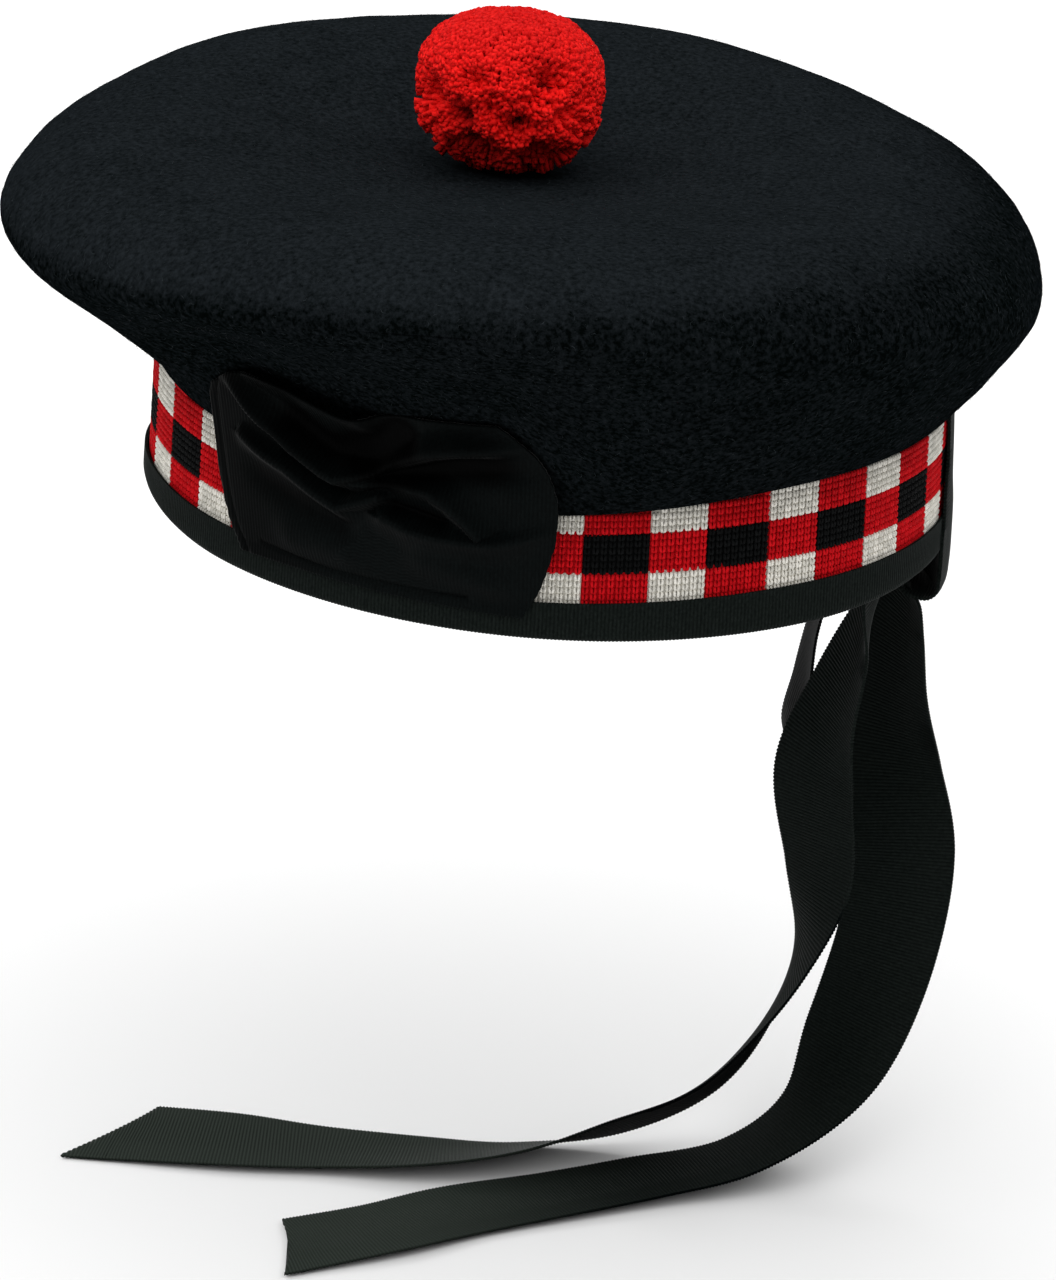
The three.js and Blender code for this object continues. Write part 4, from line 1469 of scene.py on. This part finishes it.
# %% Folds of the cockade
COCKADE_FOLDS = (
    # crest line as along and up from the pinch, crest height, fall above, fall below
    (((-29, 44.5), (-18, 44.2), (-10.5, 42), (-4, 40.5), (-1, 39.8)), 3.6, 4.0, 5.0),
    (((-41, 42), (-34, 39), (-25, 34), (-17, 28.8), (-9.5, 25), (-6.5, 24.2), (0.8, 26.8), (7.8, 30.8),
      (14.5, 34.5), (20.5, 36.2), (31, 38), (43, 39)), 5.6, 5.6, 2.6),
    (((-32, 27.4), (-29, 26.5), (-19, 23.5), (-11.8, 19.5), (-6.5, 17.2)), 4.8, 2.6, 5.0),
    (((-6.5, 17.2), (0.2, 20.5), (3.2, 22.2)), 4.8, 2.2, 2.4),
    (((-4, 24), (0, 24.2), (7.5, 25.2), (14.2, 25), (18.2, 22.8), (22.8, 18.8), (25, 16)), 3.8, 5.0, 2.8),
    (((4.2, 17.5), (9.8, 15.5), (16.8, 14.8), (22.8, 14.5), (27.2, 14.8), (38, 17.2), (44, 18.5)),
     4.2, 2.8, 6.0),
)
COCKADE_SWELLS = (
    # middle line as along and up from the pinch, height (below zero for a hollow), reach
    (((-18, 34.5), (-9.5, 30.5)), -4.2, 3.8),
    (((-2, 31), (3, 33), (7, 36.5)), -7.0, 4.2),
    (((4, 27), (12.5, 29.6), (19.5, 31.4), (29, 33), (43, 34.5)), -5.4, 3.6),
    (((6, 19.2), (10, 19), (16.5, 17.4)), -3.0, 1.9),
    (((-20, 26.4), (-11, 21.8), (-5, 20.5)), -1.2, 1.3),
    (((-30, 18), (-18, 14.5), (-8, 12)), -2.2, 3.5),
    (((33, 4), (34.5, 20), (31, 33)), 2.0, 6.0),
    (((-20, 5), (-8, 6)), 1.4, 5.0),
    (((13, 8.5), (20, 6.5), (28, 4)), 2.0, 4.5),
    (((-30, 0.9), (-10, -0.2), (14, -0.2), (22, 0.0)), -2.6, 0.7),
)
CREST_ROUND = 0.6
CREST_POWER = 1.7
DEEPEST_DENT = 3.6
FLAT_CORNERS = ((1.2, 15.0), (-10.0, 3.0), (17.0, -0.5))


def line_distance(spot, line):
    best = np.full(spot.shape[:-1], np.inf)
    above = np.zeros(spot.shape[:-1], bool)
    for first, second in zip(line[:-1], line[1:]):
        first = np.array(first, float)
        step = np.array(second, float) - first
        share = np.clip(((spot - first) @ step) / (step @ step), 0, 1)
        gap = spot - (first + share[..., None] * step)
        away = np.linalg.norm(gap, axis=-1)
        nearer = away < best
        best = np.where(nearer, away, best)
        above = np.where(nearer, gap[..., 1] > 0, above)
    return best, above


def fold_lift(spot):
    lift = np.zeros(spot.shape[:-1])
    hollow = np.zeros(spot.shape[:-1])
    for line, crest, fall_above, fall_below in COCKADE_FOLDS:
        away, above = line_distance(spot, line)
        away = np.sqrt(away ** 2 + CREST_ROUND ** 2) - CREST_ROUND
        share = np.clip(1 - away / np.where(above, fall_above, fall_below), 0, 1)
        lift = np.maximum(lift, crest * share ** CREST_POWER)
    for line, height, reach in COCKADE_SWELLS:
        swell = height * np.exp(-(line_distance(spot, line)[0] / reach) ** 2)
        lift = lift + swell
        hollow = hollow + np.maximum(-swell, 0)
    return np.where(lift < 0, DEEPEST_DENT * np.tanh(lift / DEEPEST_DENT), lift), hollow


def inside_flat(spot):
    inside = np.ones(spot.shape[:-1], bool)
    for first, second in zip(FLAT_CORNERS, FLAT_CORNERS[1:] + FLAT_CORNERS[:1]):
        step = np.array(second) - np.array(first)
        gap = spot - np.array(first)
        inside &= step[0] * gap[..., 1] - step[1] * gap[..., 0] >= 0
    return inside


spot = np.stack([along, up], -1)
lift, hollow = fold_lift(spot)
print("folds rise", round(float(lift.max()), 1), "mm and sink", round(float(-lift.min()), 1), "mm")

# %% [markdown]
# Towards both ends and the foot the ribbon lies plain, so the folds fade out there, and a narrow dent
# marks the hem at its left end. The sheet is laid on the band, leaning out a little, and ribbed like
# the rest, with the ribs upright. It wears the ribbon finish painted darker, as shade, and its hollows,
# slopes that face down and the left panel under the crown get painted shade as well.

# %% Gathered cockade
COCKADE_LEAN = 0.19
COCKADE_STAND_OFF = 2.2
COCKADE_RIB_HEIGHT = 0.2
PLAIN_LEFT = 20.0
PLAIN_RIGHT = 15.0
LEAST_RIGHT = 0.12
PLAIN_FOOT = 7.0
HEM_IN = 2.2
HEM_REACH = 0.7
HEM_DEPTH = 0.35
RIPPLE = 0.2
RIPPLE_RATE = 2.0
SHADE_HOLLOW = 3.2
SHADE_POWER = 1.5
SHADE_SLOPE = 0.5
PANEL_SHADE = 0.7
PANEL_OVER = 34.0


def ribbon_cockade():
    fade = eased((along - left) / PLAIN_LEFT) * eased((up - foot) / PLAIN_FOOT)
    fade = fade * blend(LEAST_RIGHT, 1.0, eased((right - along) / PLAIN_RIGHT))
    raised = lift * fade - HEM_DEPTH * np.exp(-((along - left - HEM_IN) / HEM_REACH) ** 2)
    out = COCKADE_STAND_OFF + COCKADE_LEAN * np.maximum(up, 0) + raised
    turn = turn_at(distance_at(COCKADE_TURN) + along)
    grid = band_point(turn, around(turn, "bound") + up, out)
    ribs = np.where(inside_flat(spot), up + RIPPLE * np.sin(along * RIPPLE_RATE), along)
    piece = cloth_sheet("ribbon_cockade", grid, RIBBON_WALL, ribs)
    # Painted shade in hollows, on slopes that face down and on the left panel under the crown.
    under = np.gradient(raised, axis=0) / np.gradient(up, axis=0)
    deep = np.clip(hollow * fade / SHADE_HOLLOW, 0, 1) ** SHADE_POWER + SHADE_SLOPE * np.clip(under, 0, 1)
    deep = deep + PANEL_SHADE * (1 - eased((along - left) / PANEL_OVER))
    store_floats(piece, "deep", both_skins(np.clip(deep, 0, 1)))
    return piece


cockade = settle(ribbed(ribbon_cockade(), COCKADE_RIB_HEIGHT, shade_painted_ribbon, crisp=False), "ribbon", "cockade")

# %% [markdown]
# The toorie is a pompom of cut wool: thousands of short yarns spread from one knot, trimmed to a ball
# that is a little wider than high and a little square. Its top is smooth, and lower down the yarns part
# into tufts with pits between them. Small pits come from a noise, and the large ones that the
# photograph shows are listed one by one. Pits, the top and the foot get painted shade.

# %% Shape of the toorie
TOORIE_WIDTH = 45.5
TOORIE_HEIGHT = 38.5
TOORIE_HALF = np.array([TOORIE_WIDTH, TOORIE_WIDTH, TOORIE_HEIGHT]) / 2
TOORIE_SQUARE = 2.5
TOORIE_GAP = 0.35
TOORIE_CENTRE = POLE + (TOORIE_GAP + TOORIE_HEIGHT / 2) * UP
LOWER_FROM = 0.45
LOWER_OVER = 1.1
TOP_PART = 0.1
TUFTS = 170
TUFT_WANDER = 0.09
TUFT_WANDER_RATE = 9
TUFT_SHIFTS = (3.0, 17.0, 31.0)
TUFT_RIM = 0.16
TUFT_DEPTH = 0.16
TUFT_UNEVEN = 0.07
TUFT_UNEVEN_RATE = 13.0
TUFT_UNEVEN_MEAN = 0.5
TUFT_SIZE = 4.4
PIT_SHIFT = 40.0
PIT_FROM = 0.1
PIT_DEPTH = 0.6
FINE_SHIFT = 90.0
FINE_SIZE = 2.2
FINE_HEIGHT = 0.02
REACH_RANGE = (0.5, 1.02)
PIT_SHADE_FROM = 0.18
PIT_SHADE_OVER = 0.20
TOP_SHADE = 0.3
TOP_SHADED = (0.2, 0.9)
LOW_SHADE = 0.62
LOW_SHADED = (0.35, 0.85)
TOORIE_PITS = (
    # turn from the wearer's left and angle above level, both in degrees, then reach and depth
    (-52, 2, 0.24, 0.46),
    (-28, -12, 0.26, 0.50),
    (-22, -39, 0.32, 0.50),
    (14, -13, 0.21, 0.50),
    (34, 21, 0.20, 0.40),
    (-5, 2, 0.15, 0.32),
    (-13, 21, 0.12, 0.26),
    (33, -38, 0.22, 0.44),
    (24, 8, 0.13, 0.30),
)


# Even directions on a ball, from the top down, by the golden angle.
def ball_directions(count):
    index = np.arange(count) + 0.5
    height = 1 - 2 * index / count
    ring = np.sqrt(1 - height ** 2)
    turn = index * math.pi * (3 - math.sqrt(5))
    return np.stack([ring * np.cos(turn), ring * np.sin(turn), height], -1)


def noise_vectors(points, size, shifts):
    return np.stack([soft_noise(points + shift, size) for shift in shifts], -1)


# Each yarn belongs to the nearest tuft: its middle, and how close the yarn stands to the tuft's rim.
def nearest_tuft(direction):
    middles = ball_directions(TUFTS)
    middles = middles + TUFT_WANDER * noise_vectors(middles * TUFT_WANDER_RATE, 1.0, TUFT_SHIFTS)
    away = np.linalg.norm(direction[:, None, :] - middles[None, :, :], axis=2)
    order = np.argsort(away, axis=1)
    first, second = np.take_along_axis(away, order[:, :2], 1).T
    return middles[order[:, 0]], 1 - np.clip((second - first) / TUFT_RIM, 0, 1)


def toorie_pits(direction, lower):
    tufts = soft_noise(direction * TOORIE_HALF + PIT_SHIFT, TUFT_SIZE)
    tuft, rim = nearest_tuft(direction)
    pits = np.clip(tufts - PIT_FROM, 0, 1) * (TOP_PART + lower) * PIT_DEPTH
    pits = pits + rim * (TOP_PART + lower) * TUFT_DEPTH
    uneven = soft_noise(tuft * TUFT_UNEVEN_RATE, 1.0) + TUFT_UNEVEN_MEAN
    pits = pits + uneven * lower * TUFT_UNEVEN
    for degrees_round, degrees_up, reach, depth in TOORIE_PITS:
        turn = math.radians(degrees_round)
        above = math.radians(degrees_up)
        middle = (math.cos(above) * math.cos(turn), math.cos(above) * math.sin(turn), math.sin(above))
        away = np.linalg.norm(direction - middle, axis=1)
        pits = np.maximum(pits, depth * np.exp(-(away / reach) ** 2))
    return pits


def toorie_surface(direction):
    height = direction[:, 2]
    level = np.linalg.norm(direction[:, :2], axis=1)
    square = (level ** TOORIE_SQUARE + np.abs(height) ** TOORIE_SQUARE) ** (-1 / TOORIE_SQUARE)
    surface = direction * TOORIE_HALF
    lower = np.clip((LOWER_FROM - height) / LOWER_OVER, 0, 1)
    pits = toorie_pits(direction, lower)
    fine = soft_noise(surface + FINE_SHIFT, FINE_SIZE) * FINE_HEIGHT
    reach = np.clip(1 - pits + fine, *REACH_RANGE) * square
    # Painted shade on the toorie's top and foot, and deeper painted shade in its pits.
    ends = TOP_SHADE * eased_between(height, TOP_SHADED) + LOW_SHADE * eased_between(-height, LOW_SHADED)
    deep = np.clip((pits - PIT_SHADE_FROM) / PIT_SHADE_OVER, 0, 1)
    return surface * reach[:, None], lower, np.maximum(deep, ends)


print("toorie's middle is at", TOORIE_CENTRE, "mm")

# %% [markdown]
# A displaced ball would look like foam, so a tree stands one short tapered yarn on every point of the
# ball. A yarn points outward, leans to the middle of its tuft and sways by a noise, more so lower down.
# Small random tilts and girths keep neighbours from looking alike.

# %% Toorie of cut yarn
TOORIE_YARNS = 13000
YARN_TIPS = 0.985
YARN_LENGTH = 6.0
YARN_RINGS = ((0.0, 0.34), (0.6, 0.60), (1.0, 0.80))
YARN_SIDES = 3
YARN_CURL = 0.25
SIDE_RATE = 4
BACK_RATE = 5
YARN_THINNEST = 0.8
YARN_THICKEST = 1.15
YARN_TILT = ((-0.22, -0.22, 0.0), (0.22, 0.22, TAU))
TILT_SEED = 2
GIRTH_SEED = 8
SWAY = 0.35
SWAY_SHIFTS = (11.0, 23.0, 57.0)
TUFT_PULL = 0.9
TOP_LEAN = 0.25


def toorie_points(name):
    direction = ball_directions(TOORIE_YARNS)
    surface, lower, deep = toorie_surface(direction)
    sway = SWAY * noise_vectors(surface, TUFT_SIZE, SWAY_SHIFTS)
    pull = (nearest_tuft(direction)[0] - direction) * TUFT_PULL
    leaning = direction + (sway + pull) * (TOP_LEAN + lower)[:, None]
    leaning /= np.linalg.norm(leaning, axis=1, keepdims=True)
    piece = new_piece(name, TOORIE_CENTRE + surface * YARN_TIPS - leaning * YARN_LENGTH, [])
    store_vectors(piece, "out", leaning)
    store_floats(piece, "deep", deep)
    return piece


def yarn_pattern():
    shares, radii = zip(*YARN_RINGS)
    path = []
    for share in shares:
        side = YARN_CURL * math.sin(SIDE_RATE * share)
        path.append((side, YARN_CURL * math.cos(BACK_RATE * share), YARN_LENGTH * share))
    return recalculated(new_piece("yarn_pattern", *yarn_tube(path, radii, YARN_SIDES)))


def yarn_tree():
    tree, given = start_tree("stand_yarns", {
        "Yarn": "Object", "Thinnest": "Float", "Thickest": "Float", "Seed": "Int", "Finish": "Material",
    })
    upright = add_node(tree, "FunctionNodeAlignRotationToVector", {"axis": "Z"}, {
        "Vector": attribute_field(tree, "out", "FLOAT_VECTOR"),
    }).outputs["Rotation"]
    leaned = turned_field(tree, upright, random_field(tree, *YARN_TILT, given["Seed"], vector=True))
    girth = random_field(tree, given["Thinnest"], given["Thickest"], GIRTH_SEED)
    size = vector_field(tree, girth, girth, 1.0)
    return end_tree(tree, set_copies(tree, given["Geometry"], given["Yarn"], leaned, size), given["Finish"])


yarn = yarn_pattern()
toorie = apply_tree(toorie_points("toorie_yarn"), yarn_tree(), {
    "Yarn": yarn, "Thinnest": YARN_THINNEST, "Thickest": YARN_THICKEST, "Seed": TILT_SEED,
    "Finish": toorie_yarn,
})
settle(toorie, "yarn", "toorie")
bpy.data.objects.remove(yarn)

# %% [markdown]
# Light must not pass between the yarns, as it can't through a real pompom, so a dark red heart fills
# the middle where the yarns cross. It has the same tufts and pits, a little smaller. Its dark red is
# painted shade.

# %% Heart of the toorie
CORE_SHARE = 0.88
CORE_SHADE = 0.7
CORE_DIVISIONS = 5


def toorie_core():
    shape = bmesh.new()
    bmesh.ops.create_icosphere(shape, subdivisions=CORE_DIVISIONS, radius=1.0)
    direction = np.array([vertex.co[:] for vertex in shape.verts])
    direction /= np.linalg.norm(direction, axis=1, keepdims=True)
    surface = toorie_surface(direction)[0] * CORE_SHARE + TOORIE_CENTRE
    for vertex, place in zip(shape.verts, surface):
        vertex.co = Vector(place * MM)
    mesh = bpy.data.meshes.new("toorie_core")
    shape.to_mesh(mesh)
    shape.free()
    mesh.shade_smooth()
    mesh.materials.append(toorie_yarn)
    piece = add_object("toorie_core", mesh)
    store_floats(piece, "shade", np.zeros(len(mesh.vertices)))
    # Painted shade: the heart is painted dark.
    store_floats(piece, "deep", np.full(len(mesh.vertices), CORE_SHADE))
    return piece


heart = settle(toorie_core(), "yarn")
print(heart.name, "has", triangle_count(heart), "triangles")

# %% [markdown]
# The stage is a plain pale floor just under the tails, lit softly from above, as a product table is.
# A wide soft sun overhead makes the top of the felt lighter than its sides, and a pale world fills the
# shadows. The floor belongs to the stage, so it is marked as a backdrop.

# %% Floor and light
FLOOR_HALF = 6.0
FLOOR_CORNERS = ((-1, -1), (1, -1), (1, 1), (-1, 1))
FLOOR_FINISH = {"Base Color": (0.86, 0.86, 0.86, 1.0), "Roughness": 0.9, "Specular IOR Level": 0.1}
WORLD_COLOUR = (1.0, 1.0, 1.0, 1.0)
WORLD_STRENGTH = 0.36
SKY_STRENGTH = 3.5
SKY_SPREAD = math.radians(110.0)
SKY_PLACE = (0.25, -0.15, 1.60)


def stage_floor():
    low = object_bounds()[0][2]
    corners = np.array([(side * FLOOR_HALF, back * FLOOR_HALF, low) for side, back in FLOOR_CORNERS])
    piece = new_piece("floor", corners / MM, [[0, 1, 2, 3]])
    piece.data.materials.append(start_finish("pale_floor", FLOOR_FINISH)[0])
    piece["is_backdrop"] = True
    return piece


def studio_light():
    world = bpy.data.worlds.new("pale_world")
    world.use_nodes = True
    background = world.node_tree.nodes["Background"]
    background.inputs["Color"].default_value = WORLD_COLOUR
    background.inputs["Strength"].default_value = WORLD_STRENGTH
    scene.world = world
    lamp = bpy.data.lights.new("soft_sky", "SUN")
    lamp.energy = SKY_STRENGTH
    lamp.angle = SKY_SPREAD
    holder = add_object("soft_sky", lamp)
    holder.location = SKY_PLACE
    aim = CAMERA_TARGET - Vector(SKY_PLACE)
    holder.rotation_euler = aim.to_track_quat("-Z", "Y").to_euler()


floor = stage_floor()
studio_light()
scene.view_settings.view_transform = "Standard"
print("floor at", round(floor.data.vertices[0].co.z, 4), "m")
